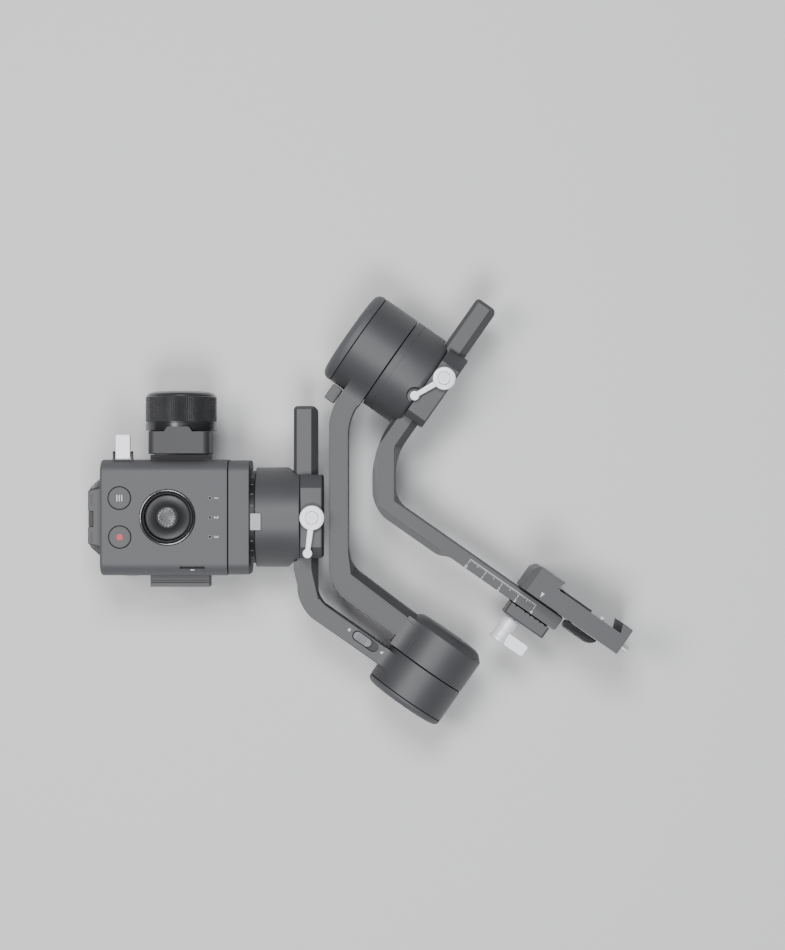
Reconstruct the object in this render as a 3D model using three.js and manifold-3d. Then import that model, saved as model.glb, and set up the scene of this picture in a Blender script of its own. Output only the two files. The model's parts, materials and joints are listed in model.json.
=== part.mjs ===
// Three-axis camera gimbal head: a control unit, three motors, three arms and a camera mount.
// Millimetres, +Z up. The origin is the centre of the grip plug's tip, on the pan axis, which runs along +X.
// The gimbal lies folded, with its three arms in the XY plane and the joystick facing +Z.
import * as THREE from 'three';
import { mergeVertices } from 'three/addons/utils/BufferGeometryUtils.js';
import Module from 'manifold-3d';

const wasm = await Module();
wasm.setup();

// ---- driving dimensions ----
const GAP = 0.35; // clearance between neighbouring pieces
const WALL = 2.2; // shell wall
const FOLD = THREE.MathUtils.degToRad(35); // angle of the tilt axis below +X when folded
const PLUG = 7.4; // length of the grip plug ahead of the seat

const BODY = { length: 63.6, halfWidth: 29, halfDepth: 25, flat: 22.5, sideFlat: 15 };
const JOYSTICK = { x: 33.75, y: 0.15, ring: 14, well: 12.3, cap: 10.9, nub: 5, pivot: 17 };
const MODE = { x: 9.9, y: 9.75, radius: 5.6 };
const RECORD = { x: 10.1, y: -9.65, radius: 5.5 };
const FOCUS = { x: 38.95, halfLength: 15.3, wheelRadius: 18.1, wheelStart: 43.6, wheelEnd: 63.5 };

const PAN = { collarEnd: 74.4, start: 77, coverEnd: 94.2, block: 99.6, radius: 25.2 };
const ROLL = { x: 162.7, y: -76.3, radius: 21.2, base: 21, cover: 17.5, cap: 3.2 };
const TILT = { x: 144.9, y: 78.3, radius: 24.9, base: 25, cover: 15.4, cap: 5.4, block: 20.8 };
const CAMERA = { x: 209.35, y: -35.05, length: 58, height: 15.1, floor: 10.3, halfDepth: 28 };

const CLAMP = { thick: 11.2, top: 21.5, bottom: -21.5, channelLow: -3.75, channelHigh: 8.95 };
const ARM = { halfDepth: 11, slot: 11.4, low: -3.4, high: 8.6 };
const ROLL_ARM_HALF_DEPTH = 13;
const ROLL_LOCK = { x: 132.2, y: -62.3 };

// ---- finishes ----
const finishes = {
  shell: { color: 0x3a3b3d, roughness: 0.55, metalness: 0.1 },
  alloy: { color: 0x333437, roughness: 0.45, metalness: 0.7 },
  gloss: { color: 0x141416, roughness: 0.2, metalness: 0.1 },
  silver: { color: 0xd8dade, roughness: 0.3, metalness: 0.9 },
  grey: { color: 0x9a9da0, roughness: 0.5, metalness: 0.2 },
  steel: { color: 0x8d9094, roughness: 0.35, metalness: 0.9 },
  copper: { color: 0x8a4b2a, roughness: 0.5, metalness: 0.6 },
  board: { color: 0x174a2c, roughness: 0.6, metalness: 0 },
  rubber: { color: 0x1b1b1c, roughness: 0.9, metalness: 0 },
  window: { color: 0x202226, roughness: 0.25, metalness: 0 },
};

// ---- solids ----
function signedVolume(vertices, triangles) {
  const corner = [0, 1, 2].map(() => new THREE.Vector3());
  let volume = 0;
  for (let i = 0; i < triangles.length; i += 3) {
    corner.forEach((point, k) => point.fromArray(vertices, 3 * triangles[i + k]));
    volume += corner[0].dot(corner[1].clone().cross(corner[2])) / 6;
  }
  return volume;
}

// A closed solid from a geometry: shared vertices merged, flat triangles dropped, faces turned outwards.
function toSolid(geometry) {
  const bare = geometry.clone();
  bare.deleteAttribute('normal');
  bare.deleteAttribute('uv');
  const merged = mergeVertices(bare, 1e-4);
  const index = merged.index.array;
  const vertices = new Float32Array(merged.attributes.position.array);
  const triangles = [];
  for (let i = 0; i < index.length; i += 3) {
    const [a, b, c] = index.slice(i, i + 3);
    if (a !== b && b !== c && c !== a) triangles.push(a, b, c);
  }
  if (signedVolume(vertices, triangles) < 0) triangles.reverse();
  const triVerts = new Uint32Array(triangles);
  return new wasm.Manifold(new wasm.Mesh({ numProp: 3, vertProperties: vertices, triVerts }));
}

function toGeometry(solid) {
  const mesh = solid.getMesh();
  const geometry = new THREE.BufferGeometry();
  geometry.setAttribute('position', new THREE.BufferAttribute(new Float32Array(mesh.vertProperties), 3));
  geometry.setIndex(new THREE.BufferAttribute(new Uint32Array(mesh.triVerts), 1));
  return geometry;
}

const join = (...pieces) => toGeometry(pieces.map(toSolid).reduce((sum, next) => sum.add(next)));
const cut = (body, ...tools) =>
  toGeometry(tools.map(toSolid).reduce((rest, tool) => rest.subtract(tool), toSolid(body)));
const keep = (body, region) => toGeometry(toSolid(body).intersect(toSolid(region)));

// ---- shapes ----
function block([x0, x1], [y0, y1], [z0, z1]) {
  const box = new THREE.BoxGeometry(x1 - x0, y1 - y0, z1 - z0);
  return box.translate((x0 + x1) / 2, (y0 + y1) / 2, (z0 + z1) / 2);
}

// Turned about X. The profile is a list of [place along X, radius].
function turned(profile, sides = 32) {
  const points = profile.map(([place, radius]) => new THREE.Vector2(radius, place));
  return new THREE.LatheGeometry(points, sides).rotateZ(-Math.PI / 2);
}

const ring = (x0, x1, inner, outer, sides = 32) =>
  turned([[x0, inner], [x1, inner], [x1, outer], [x0, outer], [x0, inner]], sides);
const rod = (x0, x1, radius, sides = 24) => turned([[x0, 0], [x0, radius], [x1, radius], [x1, 0]], sides);

// The same solids standing on other axes.
const onY = (geometry) => geometry.rotateZ(Math.PI / 2);
const onZ = (geometry) => geometry.rotateY(-Math.PI / 2);

// An outline of [x, y, corner radius] points, with each rounded corner as a curve.
function outline(points) {
  const shape = new THREE.Shape();
  const corners = points.map(([x, y, radius = 0]) => ({ at: new THREE.Vector2(x, y), radius }));
  corners.forEach(({ at, radius }, i) => {
    const before = corners[(i + corners.length - 1) % corners.length].at;
    const after = corners[(i + 1) % corners.length].at;
    const entry = before.clone().sub(at).setLength(radius).add(at);
    const exit = after.clone().sub(at).setLength(radius).add(at);
    if (i === 0) shape.moveTo(entry.x, entry.y);
    else shape.lineTo(entry.x, entry.y);
    if (radius > 0) shape.quadraticCurveTo(at.x, at.y, exit.x, exit.y);
  });
  shape.closePath();
  return shape;
}

// An outline in XY raised from z0 to z1, with its edges bevelled inwards.
function plate(points, [z0, z1], bevel = 0, curveSegments = 4) {
  const geometry = new THREE.ExtrudeGeometry(outline(points), {
    depth: z1 - z0 - 2 * bevel,
    curveSegments,
    bevelEnabled: bevel > 0,
    bevelThickness: bevel,
    bevelSize: bevel,
    bevelOffset: -bevel,
    bevelSegments: 1,
  });
  return geometry.translate(0, 0, z0 + bevel);
}

// The same plate with its outline in YZ, raised along X, or in ZX, raised along Y.
const plateX = (...args) => plate(...args).rotateY(Math.PI / 2).rotateX(Math.PI / 2);
const plateY = (...args) => plate(...args).rotateX(-Math.PI / 2).rotateY(-Math.PI / 2);

const rectangle = ([x0, x1], [y0, y1], radius = 0) => [
  [x0, y0, radius],
  [x1, y0, radius],
  [x1, y1, radius],
  [x0, y1, radius],
];

// ---- scene graph ----
const gimbal = new THREE.Group();
gimbal.position.x = PLUG;

function frameAt({ x, y }, angle) {
  const group = new THREE.Group();
  group.position.set(x, y, 0);
  group.rotation.z = angle;
  gimbal.add(group);
  return group;
}

const unit = frameAt({ x: 0, y: 0 }, 0);
const panClamp = frameAt({ x: PAN.block, y: 0 }, 0);
const rollFrame = frameAt(ROLL, Math.PI / 2 - FOLD); // X along the roll axis
const tiltFrame = frameAt(TILT, -FOLD); // X along the tilt axis
const cameraFrame = frameAt(CAMERA, -FOLD); // X along the tilt arm, Y towards the camera

function add(parent, name, finish, geometry) {
  const mesh = new THREE.Mesh(toGeometry(toSolid(geometry)), new THREE.MeshStandardMaterial(finishes[finish]));
  mesh.name = name;
  parent.add(mesh);
  return mesh;
}

// Copies a tool solid from one frame into another, so that a piece can be cut by its neighbour.
function moved(geometry, from, to) {
  gimbal.updateMatrixWorld(true);
  return geometry.clone().applyMatrix4(from.matrixWorld).applyMatrix4(to.matrixWorld.clone().invert());
}

// ---- control unit ----
// The section of the case in YZ, wide at the sides and flat at the front and back, shrunk by the inset.
function caseSection(inset) {
  const { halfWidth, halfDepth, flat, sideFlat } = BODY;
  const [side, face] = [halfWidth - inset, halfDepth - inset];
  const [flatHalf, sideHalf] = [flat - inset / 2, sideFlat - inset / 2];
  return [
    [flatHalf, -face, 2],
    [side, -sideHalf, 3],
    [side, sideHalf, 3],
    [flatHalf, face, 2],
    [-flatHalf, face, 2],
    [-side, sideHalf, 3],
    [-side, -sideHalf, 3],
    [-flatHalf, -face, 2],
  ];
}

const wellAt = ({ x, y }, radius) => onZ(rod(BODY.halfDepth - 4, BODY.halfDepth + 2, radius, 32)).translate(x, y, 0);

function buildShells() {
  const { length, halfWidth, halfDepth } = BODY;
  const outer = plateX(caseSection(0), [0, length], 1.5, 2);
  const inner = plateX(caseSection(WALL), [WALL, length - WALL], 0, 2);
  const tall = [-halfDepth - 1, halfDepth + 1];
  const wide = [-halfWidth - 1, halfWidth + 1];
  const hollow = cut(outer, inner);
  const front = keep(hollow, block([-1, length + 1], wide, [GAP / 2, tall[1]]));
  const back = keep(hollow, block([-1, length + 1], wide, [tall[0], -GAP / 2]));
  const windowSlot = block([53.5, 56.4], [-11.85, 11.85], [halfDepth - 4, halfDepth + 2]);
  const wells = [
    wellAt(JOYSTICK, JOYSTICK.well),
    wellAt(MODE, MODE.radius + GAP),
    wellAt(RECORD, RECORD.radius + GAP),
  ];
  add(unit, 'front_shell', 'shell', cut(front, windowSlot, ...wells));

  const cheek = (y) => block([9, 17], [y - 1.5, y + 1.5], [-halfDepth - 6.2, -halfDepth + 1]);
  const pinBore = onY(rod(-12, 12, 1.85)).translate(13, 0, -halfDepth - 3.4);
  const powerWell = onY(rod(-halfWidth - 2, -halfWidth + 4, 4.35)).translate(13, 0, -8);
  add(unit, 'back_shell', 'shell', cut(join(back, cheek(9.5), cheek(-9.5)), pinBore, powerWell));
  add(unit, 'control_board', 'board', block([5, 59], [-20, 20], [4, 5.6]));
  add(unit, 'status_window', 'window', block([53.85, 56.05], [-11.5, 11.5], [22.6, halfDepth + 0.1]));
}

function buildGripLatch() {
  const plugOutline = [
    [-GAP, -15],
    [-GAP, 15],
    [-PLUG, 13.3],
    [-PLUG, -13.3],
  ];
  const contactPocket = block([-PLUG - 1, -4.7], [-4.9, 3.1], [3.5, 10]);
  add(unit, 'grip_plug', 'alloy', cut(plate(plugOutline, [-9, 9]), contactPocket));
  add(unit, 'grip_contacts', 'steel', block([-PLUG + 0.2, -5.05], [-4.55, 2.75], [3.85, 8.6]));

  const hinge = { x: 11.2, y: 31.6, z: 18.5 };
  const knuckle = (x0, x1) => block([x0, x1], [26.6, 33.4], [hinge.z - 1.8, hinge.z + 1.8]);
  const pin = rod(4.5, 17.9, 1.2, 16).translate(0, hinge.y, hinge.z);
  const clearOfCase = plateX(caseSection(-GAP), [0, BODY.length], 0, 2);
  const knuckles = cut(join(knuckle(4.2, 7.1), knuckle(15.3, 18.2)), clearOfCase);
  add(unit, 'grip_lever_hinge', 'alloy', join(knuckles, pin));
  const lever = plate(rectangle([7.5, 14.85], [29.2, 41.5], 0.8), [hinge.z - 1.75, hinge.z + 1.75], 0.5, 2);
  add(unit, 'grip_lever', 'silver', cut(lever, rod(4, 18, 1.2 + GAP, 16).translate(0, hinge.y, hinge.z)));
}

function buildJoystick() {
  const face = BODY.halfDepth;
  const place = (geometry) => onZ(geometry).translate(JOYSTICK.x, JOYSTICK.y, 0);
  const { ring: outer, cap, nub, pivot } = JOYSTICK;
  add(unit, 'joystick_bezel', 'gloss', place(ring(face + GAP, face + 1.5, outer - 2.2, outer)));
  const base = block([JOYSTICK.x - 11, JOYSTICK.x + 11], [-10.85, 11.15], [6, 13.8]);
  add(unit, 'joystick_sensor', 'rubber', base);
  add(unit, 'joystick_gimbal', 'steel', place(ring(pivot - 1.4, pivot + 1.4, 2.95, 6, 20)));
  const capProfile = [
    [16, 0],
    [16, 2.6],
    [face - 3, 2.6],
    [face - 2.4, cap],
    [face - 1.4, cap],
    [face - 2, nub + 1.5],
    [face - 0.6, nub],
    [face + 1.6, nub - 0.6],
    [face + 2.3, 0],
  ];
  add(unit, 'joystick_cap', 'gloss', place(turned(capProfile)));
}

function buildButtons() {
  const face = BODY.halfDepth;
  const button = ({ x, y, radius }) =>
    onZ(turned([[20.6, 0], [20.6, radius + 1], [21.7, radius + 1], [21.7, radius], [face + 0.7, radius],
      [face + 1.1, radius - 0.6], [face + 1.1, 0]])).translate(x, y, 0);
  add(unit, 'mode_button', 'shell', button(MODE));
  add(unit, 'record_button', 'shell', button(RECORD));
  const side = BODY.halfWidth;
  const power = turned([[-side - 1, 0], [-side - 1, 4], [-side + 3.6, 4], [-side + 3.6, 5], [-side + 4.8, 5],
    [-side + 4.8, 0]]);
  add(unit, 'power_button', 'grey', onY(power).translate(13, 0, -8));
}

function buildTrigger() {
  const face = -BODY.halfDepth;
  const pivot = { x: 13, z: face - 3.4 };
  const side = [
    [face - 0.9, 10.5, 1],
    [face - 0.9, 16, 1],
    [face - 8, 46, 1.5],
    [face - 12, 46, 2],
    [face - 9.5, 34, 6],
    [face - 6.2, 16, 2],
    [face - 5.6, 10.5, 1.5],
  ];
  const lever = plateY(side, [-7.5, 7.5], 0, 3);
  add(unit, 'trigger', 'alloy', cut(lever, onY(rod(-9, 9, 1.85)).translate(pivot.x, 0, pivot.z)));
  add(unit, 'trigger_pin', 'steel', onY(rod(-11, 11, 1.5, 16)).translate(pivot.x, 0, pivot.z));
}

// The cover of the charging port lies on the sloping flat below the joystick face.
function buildPortCover() {
  const slope = Math.atan2(BODY.halfDepth - BODY.sideFlat, BODY.halfWidth - BODY.flat);
  const flap = block([-6.15, 6.15], [-3.5, 3.5], [GAP, GAP + 1.2]).rotateX(slope);
  const middle = [(BODY.halfWidth + BODY.flat) / 2, (BODY.halfDepth + BODY.sideFlat) / 2];
  add(unit, 'port_cover', 'rubber', flap.translate(46.15, -middle[0], middle[1]));
}

function buildRails() {
  const side = BODY.halfWidth;
  const span = [FOCUS.x - 14.9, FOCUS.x + 14.9];
  const focusRail = block(span, [side + GAP, side + 2.5], [-9, 9]);
  add(unit, 'focus_rail', 'shell', focusRail);
  const grooves = [9, -9].map((z) => block([20, 58], [-side - 4, -side - 2.6], [z - 2, z + 2]));
  const accessoryRail = plateY(rectangle([-9, 9], span, 1.5), [-side - 6, -side - GAP], 0, 2);
  add(unit, 'accessory_rail', 'shell', cut(accessoryRail, ...grooves));
}

function buildFocusWheel() {
  const { x, halfLength, wheelRadius, wheelStart, wheelEnd } = FOCUS;
  const baseStart = BODY.halfWidth + 2.5 + GAP;
  const base = plateY(rectangle([-15, 19.8], [x - halfLength, x + halfLength], 4), [baseStart, 43.25], 0.8, 3);
  const tab = plate([[x - 7.4, 43], [x + 6.8, 43], [x + 5, 45.5], [x - 5.6, 45.5]], [18.55, 19.8]);
  const bore = onY(rod(30, 44, 3 + GAP)).translate(x, 0, 0);
  add(unit, 'focus_base', 'shell', cut(join(base, tab), bore));
  const wheel = turned([[wheelStart, 3 + GAP], [wheelStart, wheelRadius], [wheelEnd - 2.5, wheelRadius],
    [wheelEnd - 1, wheelRadius - 1.5], [wheelEnd, wheelRadius - 5], [wheelEnd, 3 + GAP],
    [wheelStart, 3 + GAP]], 40);
  add(unit, 'focus_wheel', 'gloss', onY(wheel).translate(x, 0, 0));
  add(unit, 'focus_shaft', 'steel', onY(rod(baseStart + 1, wheelEnd - 1, 3)).translate(x, 0, 0));
}

// ---- motors ----
// Each motor has a stator and a bearing in its base, and a shaft with its magnet hub under its cover.
function buildMotorInside(frame, name, { seam, depth, radius }) {
  add(frame, `${name}_stator`, 'copper', ring(seam - depth + 3, seam - 2, radius * 0.55, radius - 3.2, 24));
  add(frame, `${name}_bearing`, 'steel', ring(seam - depth + 3, seam - depth + 8, 3.4, radius * 0.55 - GAP - 0.5, 24));
  const hub = radius * 0.55 - GAP;
  add(frame, `${name}_rotor`, 'steel', turned([[seam - depth + 3, 0], [seam - depth + 3, 3], [seam - depth + 8.4, 3],
    [seam - depth + 8.4, hub], [seam - 1, hub], [seam - 1, 5], [seam + 3, 5], [seam + 3, 0]], 24));
}

const cup = (mouth, floor, radius, wall, lip = 1.2) => {
  const into = Math.sign(floor - mouth);
  return turned([[mouth, radius - wall], [mouth, radius], [floor - into * lip, radius], [floor, radius - lip],
    [floor, 0], [floor - into * wall, 0], [floor - into * wall, radius - wall], [mouth, radius - wall]]);
};

function buildPanMotor() {
  const { collarEnd, start, coverEnd, radius } = PAN;
  const step = start - 0.4;
  const collar = plateX(caseSection(0.6), [BODY.length + GAP, collarEnd], 0, 2);
  const spigot = turned([[collarEnd - 1, 0], [collarEnd - 1, 23.2], [step, 23.2], [step, 0]]);
  const bore = turned([[BODY.length, 0], [BODY.length, 20.4], [start, 20.4], [start, 0]]);
  add(unit, 'pan_collar', 'shell', cut(join(collar, spigot), bore));
  buildMotorInside(unit, 'pan', { seam: start, depth: 15, radius: 23.2 });
  const lockSlot = block([70, 83.8], [-6.55, 2.55], [22, 30]);
  add(unit, 'pan_cover', 'alloy', cut(cup(start, coverEnd, radius, 2, 1.6), lockSlot));
  add(unit, 'pan_lock', 'grey', plate(rectangle([75.1, 80.3], [-6.2, 2.2], 0.6), [23.75, 26.8], 0.4, 2));
}

// A block with a dovetail-like channel for a sliding arm, and its lever and screw on top.
// Local X is the motor's axis, with 0 at the block's shoulder.
function buildClamp(frame, name, { shift = 0, across, lever }) {
  const at = (geometry) => geometry.translate(shift, 0, 0);
  const { thick, top, bottom, channelLow, channelHigh } = CLAMP;
  const cone = keep(turned([[-5.05, 0], [-5.05, 23.6], [0.5, 19.4], [0.5, 0]]), block([-9, 9], [-30, 30], [-30, top]));
  const body = plateX(rectangle(across, [bottom, top], 2), [-1, thick], 1, 2);
  const channel = block([channelLow, channelHigh], [-40, 40], [-ARM.slot, ARM.slot]);
  const hub = lever.hub;
  const bore = onZ(rod(0, 30, 2.35, 20)).translate(hub[0], hub[1], 0);
  add(frame, `${name}_clamp_block`, 'alloy', at(cut(join(cone, body), channel, bore)));

  const reach = Math.hypot(lever.tip[0] - hub[0], lever.tip[1] - hub[1]);
  const turn = Math.atan2(lever.tip[1] - hub[1], lever.tip[0] - hub[0]);
  const [low, high] = [top + GAP, top + 3.2];
  const handle = join(
    onZ(rod(low, high + 1.3, lever.radius)),
    block([0, reach], [-1.35, 1.35], [low, high]),
    onZ(rod(low, high + 0.5, 2.4, 20)).translate(reach, 0, 0),
  );
  const drilled = cut(handle, onZ(rod(0, 40, 2.35, 20)), onZ(rod(high, 40, 3.1 + GAP, 20)));
  add(frame, `${name}_clamp_lever`, 'silver', at(drilled.rotateZ(turn).translate(hub[0], hub[1], 0)));
  const screw = turned([[ARM.halfDepth + 0.6, 0], [ARM.halfDepth + 0.6, 2], [high + GAP, 2], [high + GAP, 3.1],
    [high + 2, 3.1], [high + 2, 0]], 20);
  add(frame, `${name}_clamp_screw`, 'silver', at(onZ(screw).translate(hub[0], hub[1], 0)));
}

// ---- arms ----
function buildPanArm() {
  const { low, high } = ARM;
  const [left, right] = [PAN.block + low, PAN.block + high];
  const upright = [
    [left, 56],
    [left, -44.3],
    [right, -48],
    [right, 56],
  ];
  const footLeft = left + 1.8;
  const foot = [
    [footLeft, -28],
    [footLeft, -45.6, 10],
    [142, -76.2],
    [155, -74],
    [right, -41.3, 4],
    [right, -28],
  ];
  const motor = moved(rod(-40, 40, ROLL.radius + GAP, 48), rollFrame, unit);
  const lockPocket = block([-7.5, 7.5], [-2.65, 2.65], [9, 20]).rotateZ(-FOLD).translate(ROLL_LOCK.x, ROLL_LOCK.y, 0);
  const depth = [-ARM.halfDepth, ARM.halfDepth];
  add(unit, 'pan_arm', 'alloy', cut(join(plate(upright, depth, 2.4), plate(foot, depth, 1)), motor, lockPocket));
  const slider = plate(rectangle([-6.9, 3.4], [-2.25, 2.25], 1), [9.35, 12.4], 0.5, 2);
  add(unit, 'roll_lock', 'shell', slider.rotateZ(-FOLD).translate(ROLL_LOCK.x, ROLL_LOCK.y, 0));
}

function buildRollMotor() {
  const { radius, base, cover, cap } = ROLL;
  add(rollFrame, 'roll_motor_base', 'alloy', ring(-base + cap, -0.2, radius - 2, radius));
  add(rollFrame, 'roll_motor_cap', 'shell', cup(-base + cap - GAP, -base, radius, 1.6, 1.4));
  buildMotorInside(rollFrame, 'roll', { seam: 0, depth: base - 2, radius: radius - 2 });
  add(rollFrame, 'roll_motor_cover', 'alloy', cup(0.2, cover, radius, 2));
}

function buildRollArm() {
  const spine = [
    [114, 53.5, 8],
    [114, -35.7, 10],
    [149.5, -60.6],
    [188, -71.5],
    [126.5, -25.4, 3],
    [123.8, -18, 5],
    [123.8, 49.4, 6],
    [135, 65.4],
    [127.1, 72.3],
  ];
  const motors = [
    moved(rod(-40, 40, ROLL.radius + GAP, 48), rollFrame, unit),
    moved(rod(-40, 40, TILT.radius + GAP, 48), tiltFrame, unit),
  ];
  const depth = [-ROLL_ARM_HALF_DEPTH, ROLL_ARM_HALF_DEPTH];
  add(unit, 'roll_arm', 'alloy', cut(plate(spine, depth, 1.2), ...motors));
}

function buildTiltMotor() {
  const { radius, base, cover, cap } = TILT;
  add(tiltFrame, 'tilt_motor_base', 'alloy', ring(-base + cap, -0.2, radius - 2, radius));
  add(tiltFrame, 'tilt_motor_cap', 'shell', cup(-base + cap - GAP, -base, radius, 1.6, 1.8));
  buildMotorInside(tiltFrame, 'tilt', { seam: 0, depth: base - 4, radius: radius - 2 });
  add(tiltFrame, 'tilt_motor_cover', 'alloy', cup(0.2, cover, radius, 2, 1.6));
  add(tiltFrame, 'tilt_lock', 'grey', plate(rectangle([-17.4, -11.7], [-33.8, -25.4], 0.8), [-4, 4], 0.6, 2));
}

function buildTiltArm() {
  const { low, high, halfDepth } = ARM;
  const [left, right] = [TILT.block + low, TILT.block + high];
  const bar = plate([[left, 51.5], [left, -44], [right, -40], [right, 51.5]], [-halfDepth, halfDepth], 2.4);
  const lower = [
    [135.7, 37, 3],
    [135.7, 3.9, 8],
    [168.5, -19.1],
    [174.2, -19.8],
    [227.3, -57, 3],
    [232, -50.5, 3],
    [147.6, 8.6, 5],
    [147.6, 40, 3],
  ];
  const bend = plate(lower, [-halfDepth + 1, halfDepth - 1], 0.8);
  add(unit, 'tilt_arm', 'alloy', join(moved(bar, tiltFrame, unit), bend));
}

// ---- camera mount ----
function buildCameraMount() {
  const { length, height, floor, halfDepth } = CAMERA;
  const depth = [-halfDepth, halfDepth];
  const section = [
    [0, 0.65],
    [length, 0.65],
    [length, height],
    [length - 6.2, height],
    [length - 4.2, floor],
    [15, floor],
    [17, height],
    [2.5, height],
    [0, height - 3],
  ];
  const lockBore = rod(46, 60, 1.6, 16).translate(0, 5, 0);
  const stopBore = onY(rod(5.5, 12, 1.6, 16)).translate(42.2, 0, 24);
  const leverBore = onY(rod(-2, 4, 1.6, 16)).translate(30.5, 0, 13.8);
  add(cameraFrame, 'camera_mount', 'alloy', cut(plate(section, depth, 0.8, 2), lockBore, stopBore, leverBore));

  const web = block([1, 24.4], [-14.6, 0.3], [-16, -ARM.halfDepth - 0.2]);
  const jaw = plate(rectangle([1, 24.4], [-14.6, -8.3]), [-14, halfDepth - 16], 0.8, 2);
  const screwBore = onY(rod(-20, 0, 2.35, 16)).translate(7, 0, 0);
  add(cameraFrame, 'clamp_jaw', 'alloy', cut(join(web, jaw), screwBore));

  const knob = onY(turned([[-28.6, 0], [-28.6, 4], [-27.8, 4.75], [-15.8, 4.75], [-15, 4.2], [-15, 2], [-8.6, 2],
    [-8.6, 0]])).translate(7, 0, 0);
  const grip = plate(rectangle([9, 22], [-28.4, -21.8], 1), [-3.2, 3.2], 0.8, 2);
  add(cameraFrame, 'clamp_knob', 'silver', join(knob, grip));

  const lever = join(
    plate(rectangle([27.9, 47], [-3.9, 0.25], 1.5), [11.4, 16.2], 0.6, 2),
    onY(rod(-2, 3.5, 1.25, 16)).translate(30.5, 0, 13.8),
  );
  add(cameraFrame, 'dovetail_lever', 'shell', lever);
  add(cameraFrame, 'lock_pin', 'silver', turned([[47.5, 0], [47.5, 1.25], [length + GAP, 1.25], [length + GAP, 2.2],
    [64, 2.2], [64, 0]], 20).translate(0, 5, 0));
  add(cameraFrame, 'stop_pin', 'silver', onY(rod(7.5, 11.8, 1.3, 16)).translate(42.2, 0, 24));
  add(cameraFrame, 'mount_pad', 'rubber', block([20, 36], [floor + GAP, floor + 1.1], [-22, 22]));
}

buildShells();
buildGripLatch();
buildJoystick();
buildButtons();
buildTrigger();
buildPortCover();
buildRails();
buildFocusWheel();
buildPanMotor();
buildClamp(panClamp, 'pan', { across: [-20.3, 21.5], lever: { hub: [6.1, -0.1], tip: [3.9, -17.8], radius: 6.2 } });
buildPanArm();
buildRollMotor();
buildRollArm();
buildTiltMotor();
buildClamp(tiltFrame, 'tilt', {
  shift: TILT.block,
  across: [-18, 22.5],
  lever: { hub: [6.2, 8], tip: [-0.9, -7.5], radius: 5.75 },
});
buildTiltArm();
buildCameraMount();

export default gimbal;
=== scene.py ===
# %% [markdown]
# # A folded camera gimbal head
# This notebook dresses a finished CAD model. The CAD model holds every size, joint and mount. Here each visible
# piece is modelled again with soft edges, fillets, knurls and marks, and gets a material. Nothing is moved: the
# places come from the frame, so every new piece lands on the CAD piece that it stands for.

# %% Load the frame
import json
import math

import bpy
from mathutils import Matrix, Vector


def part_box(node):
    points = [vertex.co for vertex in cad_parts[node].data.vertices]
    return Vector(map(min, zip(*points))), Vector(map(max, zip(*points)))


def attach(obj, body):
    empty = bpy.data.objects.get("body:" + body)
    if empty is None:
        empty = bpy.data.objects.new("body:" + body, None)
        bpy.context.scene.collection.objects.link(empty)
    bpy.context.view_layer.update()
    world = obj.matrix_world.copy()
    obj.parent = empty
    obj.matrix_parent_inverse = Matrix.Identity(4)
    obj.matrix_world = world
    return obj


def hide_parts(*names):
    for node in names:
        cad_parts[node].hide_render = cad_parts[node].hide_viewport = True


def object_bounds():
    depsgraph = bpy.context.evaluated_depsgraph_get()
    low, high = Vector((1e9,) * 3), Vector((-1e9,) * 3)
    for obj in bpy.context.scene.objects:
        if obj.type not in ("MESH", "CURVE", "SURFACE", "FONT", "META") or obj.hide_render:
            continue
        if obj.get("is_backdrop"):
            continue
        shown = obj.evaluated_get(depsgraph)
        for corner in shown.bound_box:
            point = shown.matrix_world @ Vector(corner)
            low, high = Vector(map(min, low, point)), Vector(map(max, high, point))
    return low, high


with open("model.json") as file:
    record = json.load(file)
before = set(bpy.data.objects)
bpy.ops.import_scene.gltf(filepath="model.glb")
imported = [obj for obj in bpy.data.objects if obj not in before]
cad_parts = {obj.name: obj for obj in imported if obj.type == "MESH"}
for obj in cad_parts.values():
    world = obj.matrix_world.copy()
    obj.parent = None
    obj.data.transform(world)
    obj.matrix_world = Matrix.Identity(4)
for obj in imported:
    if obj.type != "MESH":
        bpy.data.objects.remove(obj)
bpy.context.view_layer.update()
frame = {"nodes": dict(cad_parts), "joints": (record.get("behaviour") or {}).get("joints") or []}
joints = {joint["name"]: joint for joint in frame["joints"]}
bpy.ops.object.select_all(action="DESELECT")

# %% [markdown]
# ## Working frames
# A gimbal is a chain of parts at odd angles. Each part is easiest to model square to its own axes, so it is made
# at the world origin in millimetres, and then carried to its own frame once, with its place applied to its mesh.
# The frames come from the joints: the roll and tilt axes, and the knob of the camera clamp.

# %% Frames from the joints
MM = 0.001
SEAT_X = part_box("front_shell")[0].x
KNOB_FROM_CORNER = 7
PAN_CLAMP_AT = 99.6
TILT_CLAMP_AT = 20.8


def frame_on(joint_name):
    """The frame with X along a joint's axis and its origin at the joint."""
    joint = joints[joint_name]
    axis = Vector(joint["axis"])
    turn = math.atan2(axis.y, axis.x)
    return Matrix.Translation(Vector(joint["pos_m"])) @ Matrix.Rotation(turn, 4, "Z")


UNIT = Matrix.Translation((SEAT_X, 0, 0))
ROLL = frame_on("roll_motor")
TILT = frame_on("tilt_motor")
FOLD = -math.atan2(joints["tilt_motor"]["axis"][1], joints["tilt_motor"]["axis"][0])
corner = Vector(joints["knob_turn"]["pos_m"])
corner -= Vector(joints["tilt_motor"]["axis"]) * KNOB_FROM_CORNER * MM
CAMERA = Matrix.Translation(corner) @ Matrix.Rotation(-FOLD, 4, "Z")
PAN_BLOCK = UNIT @ Matrix.Translation((PAN_CLAMP_AT * MM, 0, 0))
TILT_BLOCK = TILT @ Matrix.Translation((TILT_CLAMP_AT * MM, 0, 0))
print("fold angle", round(math.degrees(FOLD), 1))

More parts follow.
